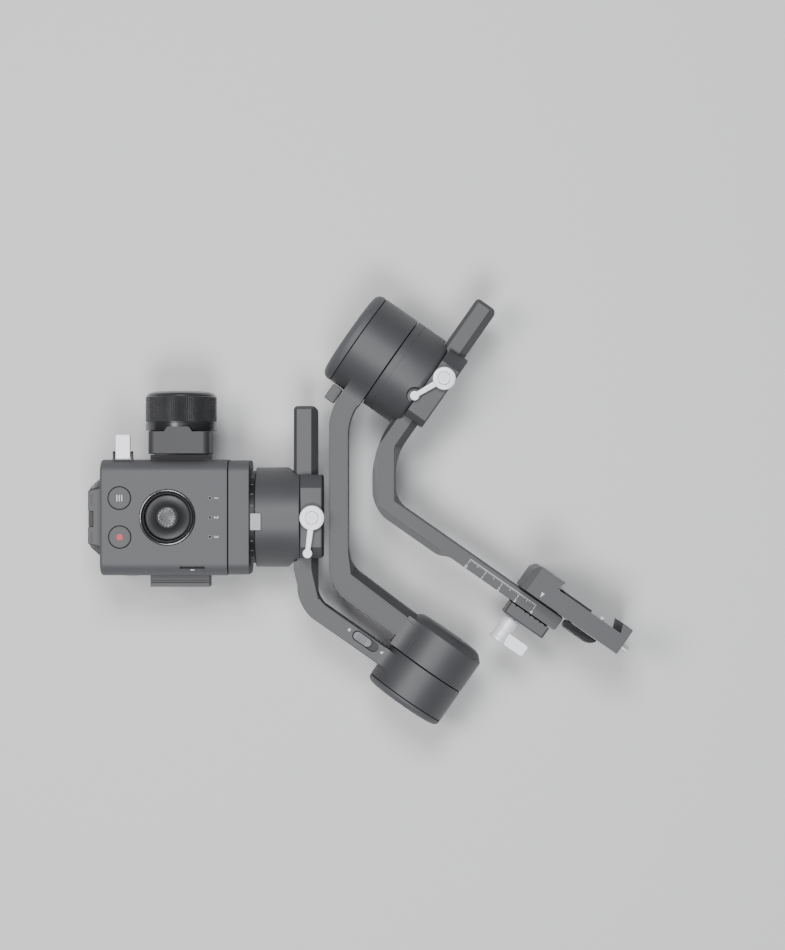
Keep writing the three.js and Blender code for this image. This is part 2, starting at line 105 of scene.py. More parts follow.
# %% [markdown]
# ## The camera
# The head lies flat and is seen from straight above, so the camera looks down the Z axis. A long lens from well
# above keeps the tall control unit and the low arms to nearly the same scale, as in a product view.

# %% Camera, floor and light
WIDTH_SEEN = 0.3925
FACE_LEVEL = 0.018
HEIGHT_ABOVE = 1.5
SENSOR = 36
SOFTBOX_WHITE = (0.97, 0.985, 1)
AIM = Vector((SEAT_X + 0.14585, 0.02125, 0))

bpy.ops.object.camera_add(location=AIM + Vector((0, 0, HEIGHT_ABOVE)), rotation=(0, 0, 0))
camera = bpy.context.object
camera.name = "view_camera"
camera.data.sensor_fit = "HORIZONTAL"
camera.data.sensor_width = SENSOR
camera.data.lens = SENSOR * (HEIGHT_ABOVE - FACE_LEVEL) / WIDTH_SEEN
bpy.context.scene.camera = camera

low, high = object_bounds()
bpy.ops.mesh.primitive_plane_add(size=6, location=(AIM.x, AIM.y, low.z - 0.0006))
floor = bpy.context.object
floor.name = "studio_floor"
floor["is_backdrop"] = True


def area_light(name, place, aim, size, power, tint):
    """A square soft light at a place, turned to face its aim."""
    bpy.ops.object.light_add(type="AREA", location=place)
    light = bpy.context.object
    light.name = name
    light.data.size = size
    light.data.energy = power
    light.data.color = tint
    light.rotation_euler = (Vector(aim) - Vector(place)).to_track_quat("-Z", "Y").to_euler()


area_light("upper_softbox", (0.1, 0.6, 1.6), AIM, 0.5, 16.5, SOFTBOX_WHITE)
area_light("lower_softbox", (0.1, -0.56, 1.6), AIM, 0.5, 16.5, SOFTBOX_WHITE)
area_light("left_softbox", (-0.45, 0.12, 1.5), AIM, 0.45, 10, (1, 0.98, 1))

world = bpy.data.worlds.new("pale_room")
world.use_nodes = True
background = world.node_tree.nodes["Background"]
background.inputs["Color"].default_value = (0.95, 0.95, 1.0, 1)
background.inputs["Strength"].default_value = 0.07
bpy.context.scene.world = world

# %% [markdown]
# ## Modelling helpers
# Every piece starts as a primitive. The helpers below do what a hand does in edit mode: pick faces or edges by
# their place, extrude, scale and spin them, and cut one shape from another with a boolean. The pieces are closed
# solids, so that the cuts are clean and the edges can be bevelled.


# %% Pick, box, turned and flat shapes
def only(piece):
    """Selects one piece alone and makes it the active one."""
    bpy.ops.object.select_all(action="DESELECT")
    bpy.context.view_layer.objects.active = piece
    piece.select_set(True)


def pick(piece, test, kind="faces"):
    """Selects the faces or edges of a piece that pass the test, and opens it in edit mode."""
    only(piece)
    mesh = piece.data
    for part in (mesh.vertices, mesh.edges, mesh.polygons):
        part.foreach_set("select", [False] * len(part))
    if kind == "faces":
        for face in mesh.polygons:
            face.select = test(face.center / MM, face.normal)
    elif kind == "edges":
        for edge in mesh.edges:
            ends = [mesh.vertices[i].co / MM for i in edge.vertices]
            edge.select = test(*ends)
    bpy.context.tool_settings.mesh_select_mode = (False, kind == "edges", kind == "faces")
    bpy.ops.object.mode_set(mode="EDIT")


def done():
    bpy.ops.object.mode_set(mode="OBJECT")


def box(name, x, y, z):
    """A box between two places along each axis, in millimetres."""
    spans = (x, y, z)
    bpy.ops.mesh.primitive_cube_add(size=1, location=[(a + b) / 2 * MM for a, b in spans])
    piece = bpy.context.object
    piece.name = name
    piece.scale = [(b - a) * MM for a, b in spans]
    bpy.ops.object.transform_apply(location=True, rotation=True, scale=True)
    return piece


def lay(piece, axis="X"):
    """Turns a piece made up the Z axis so that it stands along X or Y."""
    turn = {"X": Matrix.Rotation(math.pi / 2, 4, "Y"), "Y": Matrix.Rotation(-math.pi / 2, 4, "X")}
    if axis in turn:
        piece.data.transform(turn[axis])
    return piece


def turned(name, profile, axis="X", sides=96, at=(0, 0, 0)):
    """A round solid: a disc, extruded and scaled through a list of (place along the axis, radius)."""
    place, radius = profile[0]
    bpy.ops.mesh.primitive_circle_add(
        vertices=sides, radius=radius * MM, fill_type="NGON", location=(0, 0, place * MM)
    )
    piece = bpy.context.object
    piece.name = name
    bpy.ops.object.transform_apply(location=True, rotation=True, scale=True)
    pick(piece, lambda centre, normal: True)
    for next_place, next_radius in profile[1:]:
        bpy.ops.mesh.extrude_region_move(TRANSFORM_OT_translate={"value": (0, 0, (next_place - place) * MM)})
        ratio = next_radius / radius
        bpy.ops.transform.resize(value=(ratio, ratio, 1), center_override=(0, 0, next_place * MM))
        place, radius = next_place, next_radius
    bpy.ops.mesh.select_all(action="SELECT")
    bpy.ops.mesh.normals_make_consistent(inside=False)
    done()
    lay(piece, axis)
    piece.data.transform(Matrix.Translation(Vector(at) * MM))
    return piece


def rod(name, ends, radius, axis="X", sides=96, at=(0, 0, 0)):
    """A plain round bar, which is also the drill for a bore."""
    return turned(name, [(ends[0], radius), (ends[1], radius)], axis, sides, at)


def plate(name, outline, z, chamfer=0.0, steps=1):
    """A flat solid with any outline: a disc with one point per corner, each point moved to its place, raised in Z.
    A corner is (x, y) or (x, y, radius). The chamfer runs round its top and bottom."""
    bpy.ops.mesh.primitive_circle_add(vertices=len(outline), radius=0.01, fill_type="NGON", location=(0, 0, 0))
    piece = bpy.context.object
    piece.name = name
    for point, corner in zip(piece.data.vertices, outline):
        point.co = Vector((corner[0], corner[1], z[0])) * MM
    pick(piece, lambda centre, normal: True)
    bpy.ops.mesh.extrude_region_move(TRANSFORM_OT_translate={"value": (0, 0, (z[1] - z[0]) * MM)})
    bpy.ops.mesh.select_all(action="SELECT")
    bpy.ops.mesh.normals_make_consistent(inside=False)
    done()
    for corner in outline:
        if len(corner) == 3:
            at = Vector(corner[:2])
            bevel_edges(piece, lambda a, b: (a.xy - at).length + (b.xy - at).length < 0.02, corner[2], 8)
    if chamfer:
        bevel_edges(piece, lambda a, b: abs(a.z - b.z) < 0.01, chamfer, steps)
    return piece


def combine(piece, other, operation):
    """Joins, cuts or keeps a piece with another one, which is used up."""
    only(piece)
    step = piece.modifiers.new("combine", "BOOLEAN")
    step.operation = operation
    step.solver = "EXACT"
    step.object = other
    bpy.ops.object.modifier_apply(modifier=step.name)
    bpy.data.objects.remove(other)
    return piece


def cut(piece, *tools):
    for tool in tools:
        combine(piece, tool, "DIFFERENCE")
    return piece


def fuse(piece, *others):
    for other in others:
        combine(piece, other, "UNION")
    return piece


def keep(piece, region):
    return combine(piece, region, "INTERSECT")


def joined(name, pieces):
    """Makes one piece of several that do not touch."""
    bpy.ops.object.select_all(action="DESELECT")
    for piece in pieces:
        piece.select_set(True)
    bpy.context.view_layer.objects.active = pieces[0]
    bpy.ops.object.join()
    pieces[0].name = name
    return pieces[0]


def bevel_edges(piece, test, width, segments=4):
    """Rounds the chosen edges in edit mode."""
    pick(piece, test, "edges")
    bpy.ops.mesh.bevel(offset=width * MM, segments=segments, profile=0.5, affect="EDGES")
    done()
    return piece


def soften(piece, width, segments=2, angle=32):
    """Rounds every sharp edge a little, as a mould or a deburring tool leaves it."""
    only(piece)
    step = piece.modifiers.new("soften", "BEVEL")
    step.width = width * MM
    step.segments = segments
    step.limit_method = "ANGLE"
    step.angle_limit = math.radians(angle)
    step.harden_normals = False
    bpy.ops.object.modifier_apply(modifier=step.name)
    return piece


def carry(piece, matrix):
    """Applies a place to a piece's mesh."""
    piece.data.transform(matrix)
    return piece


def smooth(piece, angle):
    """Shades a piece smooth, apart from edges sharper than the angle."""
    only(piece)
    bpy.ops.object.shade_smooth_by_angle(angle=math.radians(angle))
    step = piece.modifiers.new("even_shading", "WEIGHTED_NORMAL")
    step.keep_sharp = True
    bpy.ops.object.modifier_apply(modifier=step.name)
    return piece

# %% [markdown]
# ## Finishes
# Most of the head is one of two things: a fine matt plastic and a bead-blasted, black anodised alloy. Both get their
# character from a very fine grain that breaks up the light, a slow drift in tone, and edges painted a little paler:
# partly where hands rub them, partly a painted highlight along the edge rims. Those effects are shared, so each is a
# node group, built once.


# %% Shared node groups
DRIFT_SCALE = 28.0
SPECKLE_SHARE = 0.35
PATCH_SCALE = 180.0
EDGE_RADIUS = 0.0005


def group_with(name, inputs, outputs):
    """A new shader node group with float inputs (name, default) and named outputs (name, kind)."""
    tree = bpy.data.node_groups.new(name, "ShaderNodeTree")
    for label, kind, default in inputs:
        socket = tree.interface.new_socket(label, in_out="INPUT", socket_type=kind)
        socket.default_value = default
    for label, kind in outputs:
        tree.interface.new_socket(label, in_out="OUTPUT", socket_type=kind)
    return tree, tree.nodes.new("NodeGroupInput"), tree.nodes.new("NodeGroupOutput")


def feed(tree, value, socket):
    """Links one socket to another, or gives it a plain value."""
    if isinstance(value, bpy.types.NodeSocket):
        tree.links.new(value, socket)
    else:
        socket.default_value = value


def noise(tree, coords, scale, detail):
    node = tree.nodes.new("ShaderNodeTexNoise")
    node.inputs["Detail"].default_value = detail
    feed(tree, coords, node.inputs["Vector"])
    feed(tree, scale, node.inputs["Scale"])
    return node.outputs["Fac"]


def maths(tree, operation, *values):
    node = tree.nodes.new("ShaderNodeMath")
    node.operation = operation
    for value, socket in zip(values, node.inputs):
        feed(tree, value, socket)
    return node.outputs[0]


def mixed_colour(tree, factor, first, second):
    """A Mix node between two colours, each a socket or a value."""
    node = tree.nodes.new("ShaderNodeMix")
    node.data_type = "RGBA"
    for value, index in ((factor, 0), (first, 6), (second, 7)):
        feed(tree, value, node.inputs[index])
    return node.outputs[2]


def build_grain_group():
    """Fine grain with a slow drift: gives a colour, a roughness and a height."""
    tree, given, result = group_with(
        "surface_grain",
        [
            ("Colour", "NodeSocketColor", (0.1, 0.1, 0.1, 1)),
            ("Pale", "NodeSocketColor", (0.14, 0.14, 0.14, 1)),
            ("Roughness", "NodeSocketFloat", 0.5),
            ("Spread", "NodeSocketFloat", 0.1),
            ("Grain", "NodeSocketFloat", 3000.0),
        ],
        [("Colour", "NodeSocketColor"), ("Roughness", "NodeSocketFloat"), ("Height", "NodeSocketFloat")],
    )
    coords = tree.nodes.new("ShaderNodeTexCoord").outputs["Object"]
    fine = noise(tree, coords, given.outputs["Grain"], 2.0)
    drift = noise(tree, coords, DRIFT_SCALE, 4.0)
    speckle = maths(tree, "MULTIPLY_ADD", fine, SPECKLE_SHARE, drift)
    paleness = maths(tree, "SUBTRACT", speckle, 0.25)
    colour = mixed_colour(tree, paleness, given.outputs["Colour"], given.outputs["Pale"])
    roughness = maths(tree, "MULTIPLY_ADD", drift, given.outputs["Spread"], given.outputs["Roughness"])
    for label, value in (("Colour", colour), ("Roughness", roughness), ("Height", fine)):
        tree.links.new(value, result.inputs[label])
    return tree


def build_wear_group():
    """A mask that is strong on edges, for a painted highlight along the edge rims and rubbing wear: there the normal
    of a rounded-over surface leaves the true normal.
    """
    tree, given, result = group_with(
        "edge_wear", [("Amount", "NodeSocketFloat", 0.5)], [("Mask", "NodeSocketFloat")]
    )
    rounded = tree.nodes.new("ShaderNodeBevel")
    rounded.samples = 4
    rounded.inputs["Radius"].default_value = EDGE_RADIUS
    true_normal = tree.nodes.new("ShaderNodeNewGeometry").outputs["Normal"]
    agreement = tree.nodes.new("ShaderNodeVectorMath")
    agreement.operation = "DOT_PRODUCT"
    tree.links.new(rounded.outputs["Normal"], agreement.inputs[0])
    tree.links.new(true_normal, agreement.inputs[1])
    edges = tree.nodes.new("ShaderNodeMapRange")
    tree.links.new(agreement.outputs["Value"], edges.inputs["Value"])
    for label, value in (("From Min", 0.99), ("From Max", 0.8), ("To Min", 0.0), ("To Max", 1.0)):
        edges.inputs[label].default_value = value
    coords = tree.nodes.new("ShaderNodeTexCoord").outputs["Object"]
    broken = maths(tree, "MULTIPLY", edges.outputs[0], noise(tree, coords, PATCH_SCALE, 3.0))
    tree.links.new(maths(tree, "MULTIPLY", broken, given.outputs["Amount"]), result.inputs["Mask"])
    return tree


GRAIN = build_grain_group()
PAINTED_EDGE_HIGHLIGHT_AND_WEAR = build_wear_group()


# %% One finish from the two groups
FINISH = {}
# The paler edge tone: a painted highlight along the edge rims, and rubbing wear.
HIGHLIT_AND_RUBBED_EDGE = (0.3, 0.3, 0.31, 1)


def add_finish(name, slot, colour, pale, roughness, spread, grain, bump, wear, highlit_and_worn_edge=HIGHLIT_AND_RUBBED_EDGE, metallic=0.0, coat=0.0):
    """A principled material whose colour, roughness and bump come from the shared grain group and the edge group,
    which pales the edges as a painted highlight and rubbing wear.
    """
    material = bpy.data.materials.new(name)
    material.use_nodes = True
    tree = material.node_tree
    shader = tree.nodes["Principled BSDF"]
    surface = tree.nodes.new("ShaderNodeGroup")
    surface.node_tree = GRAIN
    # This mask pales the edges: a painted highlight along the edge rims, and rubbing wear.
    edge_highlight_and_wear_node = tree.nodes.new("ShaderNodeGroup")
    edge_highlight_and_wear_node.node_tree = PAINTED_EDGE_HIGHLIGHT_AND_WEAR
    relief = tree.nodes.new("ShaderNodeBump")
    for node, label, value in (
        (shader, "Metallic", metallic), (shader, "Coat Weight", coat), (shader, "Coat Roughness", 0.12),
        (surface, "Colour", colour), (surface, "Pale", pale), (surface, "Roughness", roughness),
        (surface, "Spread", spread), (surface, "Grain", grain), (edge_highlight_and_wear_node, "Amount", wear),
        (relief, "Strength", bump), (relief, "Distance", 0.0002), (relief, "Height", surface.outputs["Height"]),
        (shader, "Base Color", mixed_colour(tree, edge_highlight_and_wear_node.outputs["Mask"], surface.outputs["Colour"], highlit_and_worn_edge)),
        (shader, "Roughness", surface.outputs["Roughness"]), (shader, "Normal", relief.outputs["Normal"]),
    ):
        feed(tree, value, node.inputs[label])
    FINISH[name] = material


# %% The palette
def grey(value):
    """A neutral tone, a little cool."""
    return (value, value, value * 1.06, 1)


# The ninth value sets how much the edges are paled, and the tenth, where given, is their paler tone: a painted
# highlight along the edge rims, and rubbing wear.
PALETTE = [
    ("graphite_shell", "shell", grey(0.075), grey(0.105), 0.5, 0.12, 2600, 0.10, 0.2, grey(0.19)),
    ("anodised_alloy", "alloy", grey(0.06), grey(0.088), 0.42, 0.12, 4200, 0.12, 0.35, grey(0.26), 0.1),
    ("dark_seam", "gloss", grey(0.008), grey(0.014), 0.45, 0.1, 2500, 0.03, 0.0),
    ("gloss_black", "gloss", grey(0.012), grey(0.02), 0.16, 0.08, 900, 0.02, 0.15, HIGHLIT_AND_RUBBED_EDGE, 0.0, 0.5),
    ("dark_shell", "shell", grey(0.034), grey(0.05), 0.48, 0.12, 2600, 0.1, 0.2, grey(0.12)),
    ("stick_black", "gloss", grey(0.022), grey(0.034), 0.36, 0.1, 2200, 0.05, 0.1),
    ("slider_grey", "grey", grey(0.17), grey(0.22), 0.42, 0.1, 2600, 0.05, 0.2, grey(0.4)),
    # The nub's paler grey is a painted highlight on what is really black gloss.
    ("nub_grey_painted_highlight", "gloss", grey(0.06), grey(0.09), 0.26, 0.1, 2200, 0.03, 0.1, HIGHLIT_AND_RUBBED_EDGE, 0.0, 0.4),
    ("knurled_black", "gloss", grey(0.016), grey(0.026), 0.24, 0.08, 1800, 0.05, 0.5, grey(0.22), 0.0, 0.2),
    ("satin_silver", "silver", grey(0.92), grey(0.96), 0.32, 0.12, 5200, 0.05, 0.1, grey(0.9), 0.15),
    ("lock_grey", "grey", grey(0.42), grey(0.48), 0.42, 0.1, 2600, 0.06, 0.2, grey(0.5)),
    ("plain_steel", "steel", grey(0.5), grey(0.58), 0.3, 0.12, 3800, 0.05, 0.2, grey(0.8), 0.9),
    ("matt_rubber", "rubber", grey(0.02), grey(0.03), 0.75, 0.15, 1500, 0.25, 0.1),
    ("smoked_lens", "window", grey(0.03), grey(0.05), 0.18, 0.05, 900, 0.01, 0.0, HIGHLIT_AND_RUBBED_EDGE, 0.0, 0.3),
    ("white_ink", "grey", grey(0.75), grey(0.82), 0.55, 0.1, 2500, 0.03, 0.0),
    ("red_ink", "shell", (0.62, 0.045, 0.06, 1), (0.7, 0.08, 0.09, 1), 0.5, 0.1, 2500, 0.03, 0.0),
    ("copper_wire", "copper", (0.42, 0.17, 0.07, 1), (0.55, 0.25, 0.12, 1), 0.35, 0.2, 1400, 0.3, 0.0, HIGHLIT_AND_RUBBED_EDGE, 0.8),
    ("board_green", "board", (0.01, 0.09, 0.04, 1), (0.02, 0.13, 0.06, 1), 0.35, 0.2, 400, 0.1, 0.0),
]
for row in PALETTE:
    add_finish(*row)


# %% Fitting a finished piece
def fit(piece, matrix, body, finish, *stands_for, angle=35):
    """Carries a finished piece to its frame, gives it its finish and lets it ride on its body."""
    carry(piece, matrix)
    smooth(piece, angle)
    piece.data.materials.clear()
    piece.data.materials.append(FINISH[finish])
    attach(piece, body)
    if stands_for:
        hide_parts(*stands_for)
    edges = {}
    for face in piece.data.polygons:
        for key in face.edge_keys:
            edges[key] = edges.get(key, 0) + 1
    open_edges = sum(count != 2 for count in edges.values())
    print(f"{piece.name}: {len(piece.data.polygons)} faces, {open_edges} open edges")
    return piece


def dress(node, finish):
    """A CAD node whose shape is right keeps its mesh and gets a finish."""
    part = frame["nodes"][node]
    part.data.materials.clear()
    part.data.materials.append(FINISH[finish])

# %% [markdown]
# ## The control unit
# The case is two moulded halves that meet on the middle plane. Its section is wide and soft at the sides: an ellipse
# quarter at each long edge. A plain bevel gives a circle, so the block is bevelled while it is squashed in Z and then
# stretched back. The collar behind it has the same section, so one function makes both.

# %% The case section
CASE = {"length": 63.6, "side": 29, "face": 25, "round_y": 6.5, "round_z": 10, "wall": 2.2}


def case_block(name, x, inset=0.0):
    """A length of the case section, shrunk by the inset."""
    squash = CASE["round_y"] / CASE["round_z"]
    side, face = CASE["side"] - inset, (CASE["face"] - inset) * squash
    piece = box(name, x, (-side, side), (-face, face))
    bevel_edges(piece, lambda a, b: abs(a.x - b.x) > 0.1, CASE["round_y"] - 0.6 * inset, 10)
    piece.data.transform(Matrix.Diagonal((1, 1, 1 / squash, 1)))
    return piece


# %% Wells and holes in the case
STICK = (33.75, 0.15)
MODE = (9.9, 9.75)
RECORD = (10.1, -9.65)
LIGHTS = [(54.95, 9.75), (54.95, 0.15), (54.95, -9.5)]
FACE = CASE["face"]
PORT_SPAN = (40.0, 52.3)
PORT_REACH = (PORT_SPAN[0] - 2, PORT_SPAN[1] + 2)
TRIGGER_AXIS = (13, 0, -28.4)
POWER = (13, 0, -8)


def bore(centre, radius, low=15, high=32, sides=64):
    return rod("bore", (low, high), radius, "Z", sides, (*centre, 0))


def port_region(grow=0.0, notch=0.0):
    """The part of the long edge that the cover of the charging port takes up, with a finger notch above it."""
    across = (PORT_SPAN[0] - grow, PORT_SPAN[1] + grow)
    return box("port_region", across, (-28.6 - grow, -25.4 + notch), (17.4 - grow, 40))


def shell_half(name, low, high):
    outer = case_block(name, (0, CASE["length"]))
    bevel_edges(outer, lambda a, b: max(a.x, b.x) < 0.01, 1.6, 4)
    bevel_edges(outer, lambda a, b: min(a.x, b.x) > CASE["length"] - 0.01, 0.5, 2)
    wall = CASE["wall"]
    cut(outer, case_block("hollow", (wall, CASE["length"] - wall), wall))
    return keep(outer, box("half", (-1, 70), (-40, 40), (low, high)))


front = shell_half("front_shell_skin", 0.14, 40)
port_seat = case_block("port_seat", PORT_SPAN, -1)
port_floor = case_block("port_floor", PORT_REACH, 1.5)
cut(port_seat, port_floor)
keep(port_seat, port_region(0.25, 1.2))
cut(front, bore(STICK, 12.6), bore(MODE, 5.95), bore(RECORD, 5.85), port_seat)
cut(front, *[bore(spot, 0.62, sides=20) for spot in LIGHTS])
soften(front, 0.14, 2)
fit(front, UNIT, "control_unit", "graphite_shell", "front_shell", "status_window")

back = shell_half("back_shell_skin", -40, -0.14)
cheeks = [box("cheek", (9, 17), (y - 1.5, y + 1.5), (-31.2, -24)) for y in (9.5, -9.5)]
for cheek in cheeks:
    bevel_edges(cheek, lambda a, b: abs(a.y - b.y) > 0.1 and max(a.z, b.z) < -31, 2.8, 5)
fuse(back, *cheeks)
cut(back, rod("pin_bore", (-12, 12), 1.7, "Y", 32, TRIGGER_AXIS))
cut(back, rod("power_bore", (-32, -24), 4.35, "Y", 48, POWER))
soften(back, 0.14, 2)
fit(back, UNIT, "control_unit", "graphite_shell", "back_shell")

# %% [markdown]
# The collar is the end of the case, with a round spigot that carries the pan motor's fixed half. A thin seam divides
# it from the case, and a darker gap divides it from the turning half.

# %% Collar
SPIGOT = 23.2
collar = case_block("pan_collar_skin", (63.95, 74.4), 0.35)
bevel_edges(collar, lambda a, b: abs(a.x - b.x) < 0.01, 0.5, 2)
fuse(collar, rod("spigot", (70, 76.6), SPIGOT))
cut(collar, rod("inside", (60, 80), 20.4))
ticks = [
    box("tick", (74.9, 76.2), (math.sin(turn) * SPIGOT - 0.35, math.sin(turn) * SPIGOT + 0.35),
        (math.cos(turn) * SPIGOT - 0.5, math.cos(turn) * SPIGOT + 0.25))
    for turn in (math.radians(step) for step in range(-75, 76, 15))
]
fuse(collar, *ticks)
fit(collar, UNIT, "control_unit", "graphite_shell", "pan_collar")
sleeve = turned("pan_gap_sleeve", [(74.35, 23.0), (74.35, 23.32), (76.85, 23.32), (76.85, 23.0)], "X", 96)
cut(sleeve, rod("inside", (70, 80), 22.9))
fit(sleeve, UNIT, "control_unit", "dark_seam")

# %% [markdown]
# ## Buttons and lights
# Each button is a flush disc with a soft rim in its own well. The joystick is a satin black dish on a stem, with a
# separate ribbed nub for the thumb. The nub is painted a paler grey than the dish, as a painted highlight on its
# black gloss. The ribs are cut by thin bars set out round its middle.

# %% Round buttons
def button(name, centre, radius, node):
    piece = turned(name, [(20.6, radius + 1), (21.7, radius + 1), (21.8, radius), (FACE - 0.1, radius),
                          (FACE + 0.25, radius - 0.12), (FACE + 0.42, radius - 0.45), (FACE + 0.45, radius - 0.8),
                          (FACE + 0.3, radius * 0.5), (FACE + 0.25, 0.3)], "Z", 72, (*centre, 0))
    return fit(piece, UNIT, node, "graphite_shell", node)


button("mode_key", MODE, 5.6, "mode_button")
button("record_key", RECORD, 5.5, "record_button")
power = turned("power_key", [(-30, 3.4), (-29.8, 3.8), (-29.3, 4), (-25.4, 4), (-25.3, 5), (-24.2, 5)],
               "Y", 64, POWER)
fit(power, UNIT, "power_button", "lock_grey", "power_button")


def flat_ring(name, centre, outer, inner, top, depth, sides):
    ring = turned(name, [(top - depth, outer), (top, outer)], "Z", sides, (*centre, 0))
    return cut(ring, rod("hole", (top - 2, top + 2), inner, "Z", sides, (*centre, 0)))


record_dot = rod("record_dot", (FACE, FACE + 0.36), 1.55, "Z", 40, (*RECORD, 0))
fit(record_dot, UNIT, "record_button", "red_ink")
bars = [
    box("mode_bars", (row - 0.22, row + 0.22), (MODE[1] - 1.6, MODE[1] + 1.6), (FACE, FACE + 0.37))
    for row in (MODE[0] - 1.2, MODE[0], MODE[0] + 1.2)
]
mode_bars = fuse(*bars)
fit(mode_bars, UNIT, "mode_button", "white_ink")

# %% Joystick
bezel = turned("joystick_ring_trim", [(FACE - 1, 14), (FACE + 0.75, 14), (FACE + 1.15, 13.6), (FACE + 1.2, 13.2),
                                      (FACE + 0.9, 12.7), (FACE + 0.2, 12.2)], "Z", 120, (*STICK, 0))
cut(bezel, turned("well", [(10, 11.7), (FACE - 0.4, 11.7), (FACE + 2, 12.9)], "Z", 120, (*STICK, 0)))
fit(bezel, UNIT, "control_unit", "gloss_black", "joystick_bezel")

dish = turned("joystick_dish", [
    (16, 2.6), (21.2, 2.6), (21.4, 10.4), (21.8, 11.15), (22.2, 11.3), (22.45, 11.1), (22.6, 10.4), (22.9, 9),
    (23.5, 7.4), (24.3, 6.1), (25.1, 5.3), (25.2, 4.9), (25.2, 0.4),
], "Z", 120, (*STICK, 0))
fit(dish, UNIT, "joystick", "stick_black", "joystick_cap", angle=50)
# The nub is a paler grey than the dish: a painted highlight, as the real nub is black gloss.
nub = turned("joystick_nub", [(25.1, 4.75), (26.6, 4.8), (27.05, 4.6), (27.2, 4.15), (27.1, 3.4), (26.95, 0.4)],
             "Z", 120, (*STICK, 0))
NUB_RIBS = 16
ribs = []
for step in range(NUB_RIBS):
    rib = box("rib", (1.9, 4.3), (-0.18, 0.18), (26.4, 28))
    spoke = Matrix.Rotation(math.tau * step / NUB_RIBS, 4, "Z")
    rib.data.transform(Matrix.Translation(Vector((*STICK, 0)) * MM) @ spoke)
    ribs.append(rib)
cut(nub, *ribs)
fit(nub, UNIT, "joystick", "nub_grey_painted_highlight", angle=40)

# %% Status lights
lamps = [
    turned("status_lamps", [(20, 0.5), (FACE - 0.15, 0.5), (FACE + 0.02, 0.3)], "Z", 20, (*spot, 0))
    for spot in LIGHTS
]
fit(joined("status_lamps", lamps), UNIT, "control_unit", "smoked_lens")
rings = [flat_ring("lamp_rings", spot, 0.95, 0.66, FACE + 0.03, 0.2, 24) for spot in LIGHTS]
fit(fuse(*rings), UNIT, "control_unit", "slider_grey")

# %% Hinge, plug and lever on the grip side
plug = plate("grip_plug_block", [(-0.35, -15), (-0.35, 15), (-7.4, 13.3), (-7.4, -13.3)], (-9, 9))
bevel_edges(plug, lambda a, b: min(a.z, b.z) > 8.9 and abs(a.y - b.y) > 1, 0.6, 3)
cut(plug, box("pocket", (-9, -4.7), (-4.9, 3.1), (3.5, 10)))
cut(plug, *[box("groove", (-5.8, -4.9), (y, y + 4.6), (8.3, 10)) for y in (-12.4, 6.4)])
soften(plug, 0.18, 2)
fit(plug, UNIT, "control_unit", "graphite_shell", "grip_plug")
sides = []
for sign in (1, -1):
    outline = [(-0.36, 14.6), (-0.36, 20.5), (-6.2, 15.2), (-7.3, 13.0)]
    side = plate("plug_side", [(x, sign * y) for x, y in outline], (-8.6, 6.4))
    bevel_edges(side, lambda a, b: abs(a.z - b.z) < 0.1, 0.5, 3)
    sides.append(side)
fuse(*sides)
sides[0].name = "grip_plug_cheeks"
fit(sides[0], UNIT, "control_unit", "gloss_black")
contacts = box("grip_contact_block", (-7.2, -5.05), (-4.55, 2.75), (3.85, 8.0))
pins = [
    turned("pin", [(-7.36, 0.28), (-6.6, 0.34)], "X", 12, (0, y, z))
    for y in (-3.6, -2.25, -0.9, 0.45, 1.8) for z in (5.0, 7.0)
]
fuse(contacts, *pins)
fit(contacts, UNIT, "control_unit", "dark_seam", "grip_contacts")

GRIP_AXIS = (0, 31.6, 18.5)
hinge = box("grip_lever_knuckles", (6.1, 16.25), (26, 33.2), (16.9, 20.1))
bevel_edges(hinge, lambda a, b: min(a.y, b.y) > 33 and abs(a.x - b.x) > 1, 1.55, 5)
cut(hinge, box("middle", (7.15, 15.2), (28.4, 40), (10, 30)))
fuse(hinge, rod("hinge_pin", (6.4, 15.95), 1.15, "X", 24, GRIP_AXIS))
soften(hinge, 0.15, 2)
fit(hinge, UNIT, "control_unit", "dark_seam", "grip_lever_hinge")
lever = plate("grip_lock_lever", [(7.5, 29.3, 0.7), (14.85, 29.3, 0.7), (14.85, 41.5, 0.9), (7.5, 41.5, 0.9)],
              (16.75, 20.25))
bevel_edges(lever, lambda a, b: abs(a.z - b.z) < 0.1, 0.4, 3)
cut(lever, rod("eye", (0, 20), 1.5, "X", 32, GRIP_AXIS))
cut(lever, *[box("grip_line", (8.9, 13.5), (y, y + 0.5), (20.0, 21)) for y in (38.0, 39.2, 40.4)])
fit(lever, UNIT, "grip_lever", "satin_silver", "grip_lever")

# %% Charging port
port = case_block("port_flap", PORT_SPAN, -0.25)
cut(port, case_block("inside", PORT_REACH, 1.1))
keep(port, port_region())
soften(port, 0.16, 2)
fit(port, UNIT, "port_cover", "graphite_shell", "port_cover")
tip = box("port_mark", (45.3, 47.1), (-26.3, -25.7), (20.0, 24))
keep(tip, case_block("skin", PORT_SPAN, -0.32))
cut(tip, case_block("inside", PORT_REACH, 0.6))
fit(tip, UNIT, "port_cover", "white_ink")

# %% Trigger
trigger = plate("trigger_blade", [
    (10.5, -30.6, 1.4), (10.5, -25.9, 1), (16, -25.9, 1), (46, -33, 1.4), (46, -37, 1.9), (34, -34.5, 6),
    (16, -31.2, 2),
], (-7.5, 7.5), 0.9, 3)
carry(trigger, Matrix.Rotation(math.pi / 2, 4, "X"))
cut(trigger, rod("eye", (-9, 9), 1.7, "Y", 32, TRIGGER_AXIS))
cut(trigger, *[box("rib", (x, x + 0.7), (-5.5, 5.5), (-37.6, -35.3)) for x in (38, 40, 42)])
fit(trigger, UNIT, "trigger", "anodised_alloy", "trigger")
trigger_axle = turned("trigger_axle", [(-11.2, 1.1), (-10.9, 1.45), (10.9, 1.45), (11.2, 1.1)],
                      "Y", 32, TRIGGER_AXIS)
fit(trigger_axle, UNIT, "control_unit", "plain_steel", "trigger_pin")

